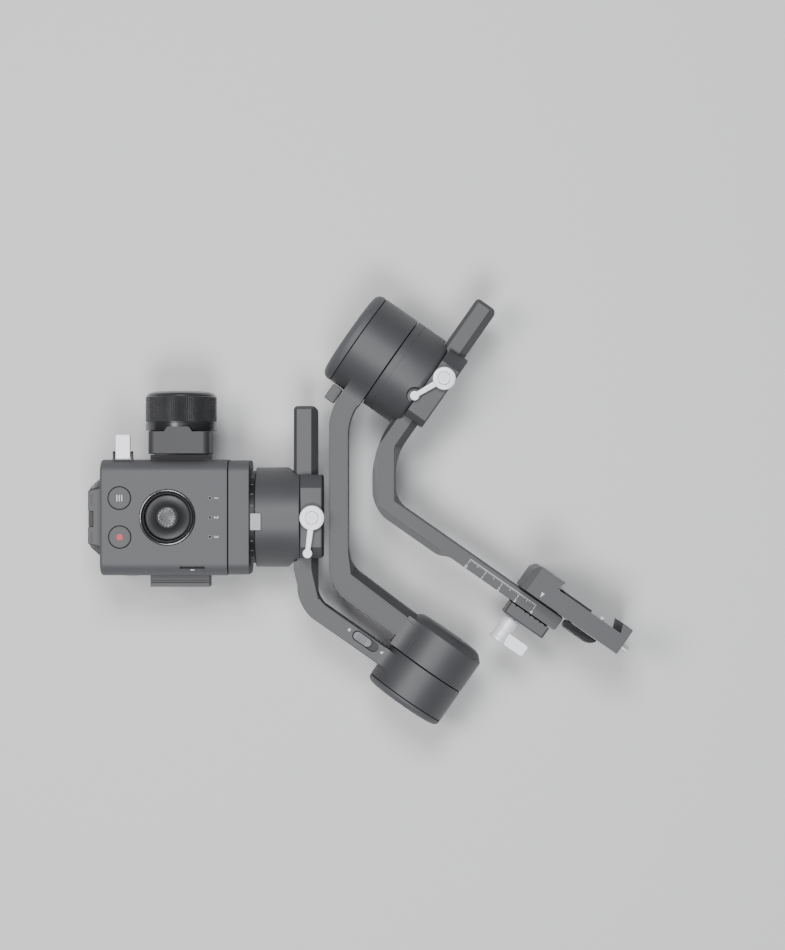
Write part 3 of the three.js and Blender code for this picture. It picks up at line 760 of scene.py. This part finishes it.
# %% [markdown]
# ## The focus wheel and the rails
# The wheel has a smooth band and then a fine square knurl. A knurl is rows of little pyramids: every second point of
# a fine round grid is pushed outwards. The base is a soft box with a small tab that laps over the wheel.

# %% Rails
for node, across, channel, half in (
    ("focus_rail", (28.2, 31.5), (28.6, 29.8), 1.2),
    ("accessory_rail", (-35, -28.2), (-32.9, -31.9), 1.0),
):
    rail = box(f"{node}_bar", (24.05, 53.85), across, (-9, 9))
    cut(rail, *[box("groove", (20, 58), channel, (z - half, z + half)) for z in (9, -9)])
    soften(rail, 0.3, 3)
    fit(rail, UNIT, "control_unit", "graphite_shell", node)

# %% Focus wheel
WHEEL_X = 38.95
base = box("focus_wheel_base", (23.65, 54.25), (31.85, 43.25), (-15, 19.8))
bevel_edges(base, lambda a, b: abs(a.y - b.y) > 5, 3.5, 8)
bevel_edges(base, lambda a, b: abs(a.y - b.y) < 0.1, 0.5, 3)
tab = plate("tab", [(31.55, 41.5), (45.75, 41.5), (45.75, 43.0, 1), (43.95, 45.5, 0.6), (33.35, 45.5, 0.6),
                    (31.55, 43.0, 1)], (18.5, 19.75))
fuse(base, tab)
cut(base, rod("shaft_bore", (30, 45), 3.35, "Y", 48, (WHEEL_X, 0, 0)))
fit(base, UNIT, "control_unit", "dark_shell", "focus_base")

START, END, ROWS = 48.2, 60.6, 34
SIDES, DEPTH, RADIUS = 240, 0.26, 17.85
rows = [(START + (END - START) * row / ROWS, RADIUS) for row in range(ROWS + 1)]
wheel = turned("focus_wheel_tyre", [
    (43.6, 17.4), (43.8, 17.9), (47.4, 18.0), (47.7, 17.5), (48.0, 17.5), *rows, (60.9, 17.5), (61.6, 17.3),
    (62.5, 16.4), (63.1, 14.6), (63.5, 12), (63.5, 6),
], "Y", SIDES, (WHEEL_X, 0, 0))
for point in wheel.data.vertices:
    across, up = point.co.x - WHEEL_X * MM, point.co.z
    reach = math.hypot(across, up)
    in_band = START * MM - 1e-5 < point.co.y < END * MM + 1e-5
    if in_band and abs(reach - RADIUS * MM) < 0.05 * MM:
        row = round((point.co.y / MM - START) / (END - START) * ROWS)
        side = round(math.atan2(up, across) / math.tau * SIDES)
        if row % 2 and side % 2:
            ratio = 1 + DEPTH * MM / reach
            point.co.x, point.co.z = WHEEL_X * MM + across * ratio, up * ratio
cut(wheel, rod("axle_bore", (40, 70), 3.35, "Y", 48, (WHEEL_X, 0, 0)))
fit(wheel, UNIT, "focus_wheel", "knurled_black", "focus_wheel", angle=20)
axle = turned("focus_axle", [(32.9, 3), (62.3, 3), (62.6, 2.6), (62.6, 1.2), (61.9, 1.0)], "Y", 48, (WHEEL_X, 0, 0))
fit(axle, UNIT, "focus_wheel", "plain_steel", "focus_shaft")

# %% [markdown]
# ## Motors
# Each motor is a fixed barrel and a turning barrel with a fine seam between them. The visible skins are turned
# profiles with small lips at every seam, so that each seam catches a thin line of light and shade.

# %% Pan motor cover
def channel_region(at=0.0):
    """The channel across a clamp that the arm slides through."""
    return box("channel", (at - 3.75, at + 8.95), (-60, 60), (-11.4, 11.4))


def motor_skin(name, profile, place_at, body, finish, node, *tools):
    """The skin of a fixed or a turning barrel, with what is cut out of it."""
    skin = turned(name, profile, "X", 144)
    cut(skin, *tools)
    return fit(skin, place_at, body, finish, node, angle=40)


wedges = [
    plate("wedge", [(93.2, side * 25.3), (98, side * edge), (101, side * edge), (101, side * 30), (93.2, side * 30)],
          (-30, 30))
    for side, edge in ((1, 21.5), (-1, 20.3))
]
motor_skin("pan_cover_skin", [(77.15, 22.6), (77.15, 24.7), (77.5, 25.1), (98.9, 25.2), (99.3, 25.05), (99.45, 24.8)],
           UNIT, "pan_head", "anodised_alloy", "pan_cover", rod("hollow", (70, 91), 22.8),
           box("lock_slot", (70, 80.1), (-5.2, 1.2), (20.5, 30)), *wedges, channel_region(PAN_CLAMP_AT))
lock = plate("pan_lock_slider", [(75.1, -6.2, 0.6), (80.3, -6.2, 0.6), (80.3, 2.2, 0.6), (75.1, 2.2, 0.6)],
             (25.35, 26.8), 0.35, 3)
fuse(lock, box("stem", (75.15, 76.4), (-4.9, 0.9), (23.6, 25.6)))
cut(lock, *[box("groove", (76.4, 79), (y, y + 0.35), (26.5, 27)) for y in (-4.9, -3.4, -1.9, -0.4, 1.1)])
fit(lock, UNIT, "pan_lock", "lock_grey", "pan_lock")


# %% Clamp blocks with their levers
def clamp(name, place_at, across, hub, tip, hub_radius, body, lever_body, parts):
    """The block that grips a sliding arm, its silver lever and the screw that the lever turns on."""
    block = box(f"{name}_clamp_body", (0.15, 11.2), across, (-21.5, 21.5))
    keep(block, rod("round_over", (-2, 14), 26, "X", 144))
    bevel_edges(block, lambda a, b: min(a.x, b.x) > 11, 0.9, 3)
    bevel_edges(block, lambda a, b: max(a.x, b.x) < 0.2, 0.25, 2)
    cut(block, channel_region())
    cut(block, box("split", (-1, 12), (across[0] - 1, across[0] + 7), (-0.6, 0.6)))
    cut(block, rod("screw_bore", (0, 40), 2.35, "Z", 40, (*hub, 0)))
    soften(block, 0.2, 2, 40)
    fit(block, place_at, body, "anodised_alloy", parts[0])

    reach = math.hypot(tip[0] - hub[0], tip[1] - hub[1])
    turn = math.atan2(tip[1] - hub[1], tip[0] - hub[0])
    handle = turned(f"{name}_lever_skin", [
        (21.85, hub_radius - 0.35), (22.2, hub_radius), (25.3, hub_radius), (25.75, hub_radius - 0.15),
        (26, hub_radius - 0.55), (26, 4),
    ], "Z", 96)
    stem = plate("stem", [(0, -2.1), (hub_radius, -1.5), (reach, -1.25), (reach, 1.25), (hub_radius, 1.5), (0, 2.1)],
                 (21.9, 24.9), 0.35, 3)
    end = turned("end", [(21.85, 2.1), (22.1, 2.4), (24.7, 2.4), (25.05, 2.2), (25.15, 1.8)], "Z", 48, (reach, 0, 0))
    fuse(handle, stem, end)
    cut(handle, rod("bore", (10, 40), 2.35, "Z", 48), rod("sink", (24.7, 40), 3.4, "Z", 64))
    soften(handle, 0.12, 2, 50)
    handle.data.transform(Matrix.Translation((hub[0] * MM, hub[1] * MM, 0)) @ Matrix.Rotation(turn, 4, "Z"))
    fit(handle, place_at, lever_body, "satin_silver", parts[1])

    screw = turned(f"{name}_screw_skin", [
        (11.6, 1.7), (11.8, 2), (24.9, 2), (24.9, 3.05), (26.35, 3.1), (26.65, 2.9), (26.7, 2.6),
    ], "Z", 64)
    cut(screw, *[box("slot", (-a, a), (-b, b), (25.9, 28)) for a, b in ((1.35, 0.26), (0.26, 1.35))])
    screw.data.transform(Matrix.Translation((hub[0] * MM, hub[1] * MM, 0)) @ Matrix.Rotation(turn + 0.6, 4, "Z"))
    fit(screw, place_at, lever_body, "satin_silver", parts[2])


clamp("pan", PAN_BLOCK, (-20.3, 21.5), (6.1, -0.1), (3.9, -17.8), 6.2, "pan_head", "pan_clamp_lever",
      ("pan_clamp_block", "pan_clamp_lever", "pan_clamp_screw"))
clamp("tilt", TILT_BLOCK, (-18, 22.5), (6.2, 8), (-0.9, -7.5), 5.75, "tilt_head", "tilt_clamp_lever",
      ("tilt_clamp_block", "tilt_clamp_lever", "tilt_clamp_screw"))

# %% Roll and tilt barrels
motor_skin("roll_base_skin", [
    (-17.8, 18), (-17.8, 20.9), (-17.6, 21.2), (-0.5, 21.2), (-0.25, 20.95), (-0.25, 18),
], ROLL, "pan_arm", "anodised_alloy", "roll_motor_base")
motor_skin("roll_cap_skin", [
    (-21.6, 12), (-21.5, 17.4), (-21.1, 19.4), (-20.2, 20.7), (-19.2, 21.2), (-18.35, 21.2), (-18.1, 20.95),
    (-18.1, 18),
], ROLL, "pan_arm", "graphite_shell", "roll_motor_cap")
motor_skin("roll_cover_skin", [
    (0.25, 18), (0.25, 20.95), (0.5, 21.2), (17.3, 21.2), (17.6, 21.05), (18.0, 20.75), (20.6, 18.2), (21.6, 16),
    (21.9, 12),
], ROLL, "roll_arm", "anodised_alloy", "roll_motor_cover", box("notch", (-0.5, 1.1), (-1.35, -0.15), (19.8, 24)))

motor_skin("tilt_base_skin", [
    (-19.6, 22), (-19.6, 24.6), (-19.4, 24.9), (-0.5, 24.9), (-0.25, 24.65), (-0.25, 22),
], TILT, "roll_arm", "anodised_alloy", "tilt_motor_base")
motor_skin("tilt_cap_skin", [
    (-25.6, 14), (-25.5, 20), (-25, 22.6), (-23.8, 24.1), (-22.2, 24.9), (-20.15, 24.9), (-19.9, 24.65),
    (-19.9, 22),
], TILT, "roll_arm", "graphite_shell", "tilt_motor_cap")
scoop = turned("scoop", [(21.55, 3.6), (22.2, 4.1), (30, 5.2)], "Z", 64, (19.9, -7.5, 0))
motor_skin("tilt_cover_skin", [
    (0.25, 22), (0.25, 24.65), (0.5, 24.9), (3.95, 24.9), (4.05, 24.6), (4.3, 24.6), (4.4, 24.9), (18.6, 24.9),
    (20.3, 23.5), (20.65, 23.1),
], TILT, "tilt_head", "anodised_alloy", "tilt_motor_cover", scoop, channel_region(TILT_CLAMP_AT))
lock = plate("tilt_lock_slider", [(-17.4, -33.8, 0.8), (-11.7, -33.8, 0.8), (-11.7, -25.4, 0.8), (-17.4, -25.4, 0.8)],
             (-4, 4), 0.5, 3)
fit(lock, TILT, "tilt_lock", "anodised_alloy", "tilt_lock")

# %% [markdown]
# ## The arms
# The arms are cast bars with a flat face and sloped flanks. Each starts as a plate with the arm's outline. A shave
# lowers one edge along a line, top and bottom, as a milling cutter held at an angle would. A saddle is the hollow
# fillet where an arm runs into a motor: a block with a round bar taken out of it, tangent to both surfaces.

# %% Shaves, saddles and grooves
def tool_box(columns, origin, spans):
    """A box whose own axes are the given columns, placed at an origin in millimetres."""
    tool = box("tool", *spans)
    matrix = Matrix([[column[row] for column in columns] for row in range(3)]).to_4x4()
    tool.data.transform(Matrix.Translation(Vector(origin) * MM) @ matrix)
    if matrix.determinant() < 0:
        tool.data.flip_normals()
    return tool


def shave(piece, start, end, level, angle, faces=(1, -1)):
    """Cuts down the material to the right of a line on the faces at +level and -level."""
    start, end = Vector(start), Vector(end)
    along = (end - start).normalized()
    out = Vector((along.y, -along.x, 0))
    slope = math.radians(angle)
    for face in faces:
        up = Vector((0, 0, face))
        across = out * math.cos(slope) - up * math.sin(slope)
        columns = (Vector((*along, 0)), across, out * math.sin(slope) + up * math.cos(slope))
        cut(piece, tool_box(columns, (*start, face * level), ((0, (end - start).length), (-3, 40), (0, 40))))
    return piece


def groove(piece, points, level, width=0.35, depth=0.5, faces=(1, -1)):
    """A narrow slot along a line of points on a face."""
    for start, end in zip(points, points[1:]):
        start, end = Vector(start), Vector(end)
        along = (end - start).normalized()
        columns = (Vector((*along, 0)), Vector((-along.y, along.x, 0)), Vector((0, 0, 1)))
        for face in faces:
            low, high = sorted((face * (level - depth), face * (level + 2)))
            spans = ((-width / 2, (end - start).length + width / 2), (-width / 2, width / 2), (low, high))
            cut(piece, tool_box(columns, (*start, 0), spans))
    return piece


def saddle(frame_at, span, barrel, plane, fillet, side):
    """Two hollow fillets, above and below, between an arm's flat faces and a motor's barrel."""
    reach, rise = math.sqrt((barrel + fillet) ** 2 - (plane + fillet) ** 2), plane + fillet
    share = barrel / (barrel + fillet)
    made = []
    for face in (1, -1):
        across = sorted((side * reach * share, side * (reach - 0.3)))
        depth = sorted((face * (plane - 2.5), face * rise * share))
        block = box("saddle", span, across, depth)
        centre = (0, side * reach, face * rise)
        cut(block, rod("hollow", (span[0] - 2, span[1] + 2), fillet, "X", 128, centre))
        carry(block, UNIT.inverted() @ frame_at)
        made.append(block)
    return made


def barrel_tool(frame_at, radius, span=(-50, 50)):
    """A motor's bore, in the unit's axes."""
    return carry(rod("barrel", span, radius, "X", 128), UNIT.inverted() @ frame_at)


# %% Pan arm
arm = plate("pan_arm_skin", [(96.2, 56, 2), (96.2, -26), (98, -34), (98, -45.6, 10), (142, -76.2), (155, -74),
                             (108.2, -41.3, 5), (108.2, 56, 3)], (-11, 11), 0.45, 2)
fuse(arm, *saddle(ROLL, (-11.3, -2.7), 21.2, 11, 10, 1))
cut(arm, barrel_tool(ROLL, 20.4))
for start, end in (
    ((105, -26), (105, 58)), ((108.4, -41.3), (105, -26.2)), ((97.8, 58), (97.8, -22)), ((110, 54.3), (95, 54.3)),
):
    shave(arm, start, end, 11, 50)
LOCK = UNIT @ Matrix.Translation((132.2 * MM, -62.3 * MM, 0)) @ Matrix.Rotation(-FOLD, 4, "Z")


def pill(name, x, half_width, z, chamfer=0.0):
    """A plate with round ends."""
    corners = [(x[0], -half_width), (x[1], -half_width), (x[1], half_width), (x[0], half_width)]
    return plate(name, [(*corner, half_width * 0.97) for corner in corners], z, chamfer, 2)


slot = pill("slot", (-7.5, 7.5), 2.65, (9, 14))
carry(slot, UNIT.inverted() @ LOCK)
cut(arm, slot)
soften(arm, 0.25, 2, 24)
fit(arm, UNIT, "pan_arm", "anodised_alloy", "pan_arm", angle=30)
floor_plate = pill("roll_lock_bed", (-7.6, 7.6), 2.75, (8.2, 9.1))
fit(floor_plate, LOCK, "pan_arm", "dark_seam")
slider = pill("roll_lock_slider", (-6.9, 3.4), 2.25, (9.2, 11.3), 0.4)
cut(slider, *[box("rib_gap", (x, x + 0.6), (-1.6, 1.6), (10.5, 12)) for x in (-4.6, -3.2, -1.8, -0.4)])
soften(slider, 0.12, 2, 40)
fit(slider, LOCK, "roll_lock", "slider_grey", "roll_lock")


def padlock(name, at, is_open):
    """A small printed padlock beside the slider."""
    body = box(name, (at - 0.62, at + 0.62), (-0.5, 0.42), (10.9, 11.03))
    centre = (at + (0.55 if is_open else 0), 0.42, 0)
    hoop = rod("hoop", (10.9, 11.03), 0.52, "Z", 28, centre)
    cut(hoop, rod("hole", (10, 12), 0.3, "Z", 28, centre), box("lower", (at - 3, at + 3), (-1, 0.42), (10, 12)))
    fuse(body, hoop)
    return fit(body, LOCK, "pan_arm", "white_ink")


padlock("lock_mark", -9.9, False)
padlock("unlock_mark", 9.9, True)

# %% Roll arm
arm = plate("roll_arm_skin", [
    (114, 53.5, 8), (114, -35.7, 10), (149.5, -60.6), (188, -71.5), (126.5, -25.4, 4), (123.8, -18, 4),
    (123.8, 49.4, 7), (135, 65.4), (127.1, 72.3),
], (-12.65, 12.65), 0.3, 2)
face = plate("face", [
    (114.9, 53.2, 7.5), (114.9, -35.2, 9.5), (150.2, -59.7), (187, -70.9), (126.1, -25.2, 4), (123.5, -18, 4),
    (123.5, 49.5, 7), (134.6, 65.1), (127.3, 71.2),
], (-13, 13), 0.12)
fuse(arm, face)
shave(arm, (182, -72.1), (124.9, -28.6), 13, 58)
shave(arm, (124.9, -28.6), (123.3, -16), 13, 58)
fuse(arm, *saddle(ROLL, (0.45, 17.3), 21.2, 13, 14, 1))
fuse(arm, *saddle(TILT, (-11.0, -0.5), 24.9, 13, 14, -1))
cut(arm, barrel_tool(ROLL, 20.4, (0.3, 50)), barrel_tool(ROLL, 21.7, (-50, 0.3)))
cut(arm, barrel_tool(TILT, 24.1, (-50, -0.1)), barrel_tool(TILT, 25.4, (-0.1, 50)))
groove(arm, [(125.4, -29.9), (156.8, -53.8)], 13, 0.4, 0.45)
fit(arm, UNIT, "roll_arm", "anodised_alloy", "roll_arm", angle=30)

# %% Tilt arm
ARM_FACE = 10.5
arm = plate("tilt_arm_skin", [
    (188.69, 110.51, 2), (135.7, 34.8, 14), (135.7, 3.9, 9), (168.5, -19.1, 2), (174.2, -19.8, 2),
    (227.3, -57, 1.5), (232, -50.5, 1.5), (147.6, 8.6, 6), (147.6, 30.9, 8), (198.52, 103.62, 3),
], (-ARM_FACE, ARM_FACE), 0.35, 2)


def on_bar(u, v):
    """A place on the tilt clamp's axes, in the unit's axes."""
    return tuple((UNIT.inverted() @ TILT @ (Vector((u, v, 0)) * MM)).xy / MM)


for start, end, angle in (
    (on_bar(25.9, -33.8), on_bar(25.9, 53), 50), (on_bar(19.3, 53), on_bar(19.3, -36), 50),
    (on_bar(31, 49.7), on_bar(16, 49.7), 50), ((231.5, -51.3), (146.5, 8.2), 60),
    ((146.5, 8.5), (146.5, 35.1), 60), ((138.6, 30), (138.6, 5.6), 14), ((138.6, 5.6), (170.4, -17.2), 14),
):
    shave(arm, start, end, ARM_FACE, angle)
groove(arm, [(138.9, 29), (138.9, 5.8), (170.2, -16.8)], ARM_FACE, 0.5, 0.6)
soften(arm, 0.18, 2, 26)
fit(arm, UNIT, "tilt_arm", "anodised_alloy", "tilt_arm", angle=30)

# %% [markdown]
# The tilt arm carries a printed centimetre scale, so that a camera's balance point can be found again. Its marks are
# ink, so they are very thin solids that stand just proud of the metal. One bar makes every tick, and the numerals
# are text turned into a mesh.

# %% Scale on the tilt arm
SCALE = UNIT @ Matrix.Translation((185.2 * MM, -21.1 * MM, 0)) @ Matrix.Rotation(-FOLD, 4, "Z")
INK = (ARM_FACE - 0.1, ARM_FACE + 0.04)
ticks = [box("arm_scale_ticks", (-0.1, 40.1), (-0.1, 0.1), INK)]
for step in range(41):
    size = 2.7 if step % 10 == 0 else 1.7 if step % 5 == 0 else 0.85
    width = 0.11 if step % 5 == 0 else 0.07
    ticks.append(box("tick", (step - width, step + width), (-size, 0), INK))
fuse(*ticks)
fit(ticks[0], SCALE, "tilt_arm", "white_ink")


def numeral(text, x, y, level, size, turn=0.0):
    """One printed figure, lying flat at a height."""
    bpy.ops.object.text_add(location=(0, 0, 0))
    figure = bpy.context.object
    figure.data.body = text
    figure.data.size = size * MM
    figure.data.align_x = "CENTER"
    figure.data.align_y = "CENTER"
    figure.data.offset = 0.012 * MM
    figure.data.extrude = 0.07 * MM
    figure.data.resolution_u = 4
    bpy.ops.object.convert(target="MESH")
    figure = bpy.context.object
    place = Matrix.Translation(Vector((x, y, level)) * MM)
    figure.data.transform(place @ Matrix.Rotation(math.radians(turn), 4, "Z"))
    pick(figure, lambda centre, normal: True)
    bpy.ops.mesh.select_all(action="SELECT")
    bpy.ops.mesh.remove_doubles(threshold=1e-6)
    bpy.ops.mesh.normals_make_consistent(inside=False)
    done()
    return figure


figures = [numeral(str(mark), x, -4.35, ARM_FACE - 0.03, 2.7) for mark, x in enumerate((0, 9.9, 20, 30, 40))]
fit(joined("arm_scale_figures", figures), SCALE, "tilt_arm", "white_ink")
figures = [numeral(str(mark), 58.0, spot[1], FACE - 0.03, 3.0, -90) for mark, spot in enumerate(LIGHTS, 1)]
fit(joined("status_figures", figures), UNIT, "control_unit", "white_ink")

# %% [markdown]
# ## The camera mount
# A dovetail channel takes the camera's plate. The body is a raised block, and the channel is cut from it by a second
# block with a narrow top, so both undercut walls come out straight. The jaw below clamps on the tilt arm when the
# silver knob is turned.

# %% Mount and jaw
STOP_AXIS = (42.2, 0, 24)
LEVER_AXIS = (30.5, 0, 13.8)
KNOB_AXIS = (KNOB_FROM_CORNER, 0, 0)
mount = plate("camera_mount_skin", [(0, 0.65), (58, 0.65, 0.6), (58, 15.1, 0.8), (2.5, 15.1, 1.2), (0, 12.1, 1.2)],
              (-28, 28), 0.35, 2)
cut(mount, plate("dovetail", [(15, 10.3), (53.8, 10.3), (51.2, 16.5), (17.6, 16.5)], (-30, 30)),
    rod("pin_bore", (46, 60), 1.6, "X", 40, (0, 5, 0)),
    rod("stop_bore", (5.5, 12), 1.6, "Y", 40, STOP_AXIS),
    rod("lever_bore", (-2, 4), 1.6, "Y", 40, LEVER_AXIS))
shave(mount, (3.4, 16), (3.4, 0), 28, 24)
soften(mount, 0.22, 2, 28)
fit(mount, CAMERA, "camera_mount", "anodised_alloy", "camera_mount", angle=30)
index = plate("index_mark", [(9.9, 4.6), (11.5, 4.6), (10.7, 2.0)], (27.9, 28.04))
fit(index, CAMERA, "camera_mount", "white_ink")

jaw = box("clamp_jaw_skin", (1, 24.4), (-14.6, -8.3), (-16, 12))
fuse(jaw, box("web", (1, 24.4), (-14.6, 0.5), (-16, -11.2)))
cut(jaw, rod("screw_bore", (-20, 0), 2.35, "Y", 40, KNOB_AXIS))
cut(jaw, *[box("rib_gap", (x, x + 0.7), (-8.8, -8), (-11, 13)) for x in (4, 9.4, 12.4, 15.4, 18.4, 21.4)])
bevel_edges(jaw, lambda a, b: min(a.z, b.z) > 11.9 and a.y < -8.2 and b.y < -8.2 and min(a.y, b.y) < -14.5, 1.2, 4)
soften(jaw, 0.3, 3, 40)
fit(jaw, CAMERA, "camera_mount", "anodised_alloy", "clamp_jaw")

pad = box("mount_pad_skin", (20, 36), (10.2, 11.4), (-22, 22))
cut(pad, *[box("rib", (18, 38), (11.15, 12), (z, z + 0.8)) for z in range(-20, 21, 2)])
soften(pad, 0.1, 2)
fit(pad, CAMERA, "camera_mount", "dark_shell", "mount_pad")

# %% Knob, lever and pins
knob = turned("clamp_knob_skin", [
    (-28.6, 3.4), (-28.5, 4.4), (-28.1, 4.9), (-26.6, 4.9), (-26.2, 4.5), (-22.4, 4.5), (-22.1, 4.15),
    (-21.4, 4.15), (-21.1, 4.5), (-15.9, 4.5), (-15.3, 4.2), (-15.1, 2.05), (-8.6, 2.05),
], "Y", 96, KNOB_AXIS)
grip = plate("grip", [(8, -28.4, 1), (22, -28.4, 1.4), (22, -21.8, 1.4), (8, -21.8, 1)], (-3.2, 3.2), 0.5, 3)
fuse(knob, grip)
fit(knob, CAMERA, "clamp_knob", "satin_silver", "clamp_knob")

lever = plate("dovetail_lever_skin", [
    (27.9, -3.9, 1.8), (44, -3.9, 3), (47, -0.6, 0.8), (47, 0.3), (27.9, 0.3, 0.8),
], (11.4, 16.2), 0.4, 3)
fuse(lever, rod("axle", (-1, 3.4), 1.3, "Y", 32, LEVER_AXIS))
fit(lever, CAMERA, "dovetail_lever", "gloss_black", "dovetail_lever")
pin = turned("lock_pin_skin", [
    (47.5, 1.1), (47.7, 1.25), (58.35, 1.25), (58.35, 2.0), (58.6, 2.2), (63.5, 2.2), (63.9, 1.9), (64, 1.4),
], "X", 48, (0, 5, 0))
fit(pin, CAMERA, "lock_pin", "satin_silver", "lock_pin")
stop = turned("stop_pin_skin", [(7.5, 1.3), (11.2, 1.3), (11.6, 1.1), (11.8, 0.7)], "Y", 40, STOP_AXIS)
fit(stop, CAMERA, "stop_pin", "satin_silver", "stop_pin")

# %% [markdown]
# ## What lies inside
# The parts inside the case and the motors keep their CAD shapes, which are right as they are. They still get their
# own finishes, because they show through the joystick's well and between the turning halves.

# %% Finishes for the inner parts
INSIDE = {
    "control_board": "board_green", "joystick_sensor": "matt_rubber", "joystick_gimbal": "plain_steel",
    **{f"{motor}_stator": "copper_wire" for motor in ("pan", "roll", "tilt")},
    **{f"{motor}_bearing": "plain_steel" for motor in ("pan", "roll", "tilt")},
    **{f"{motor}_rotor": "plain_steel" for motor in ("pan", "roll", "tilt")},
}
for node, finish in INSIDE.items():
    dress(node, finish)
shown = [name for name, part in frame["nodes"].items() if not part.hide_render]
print("CAD nodes still shown:", sorted(shown))

low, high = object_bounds()
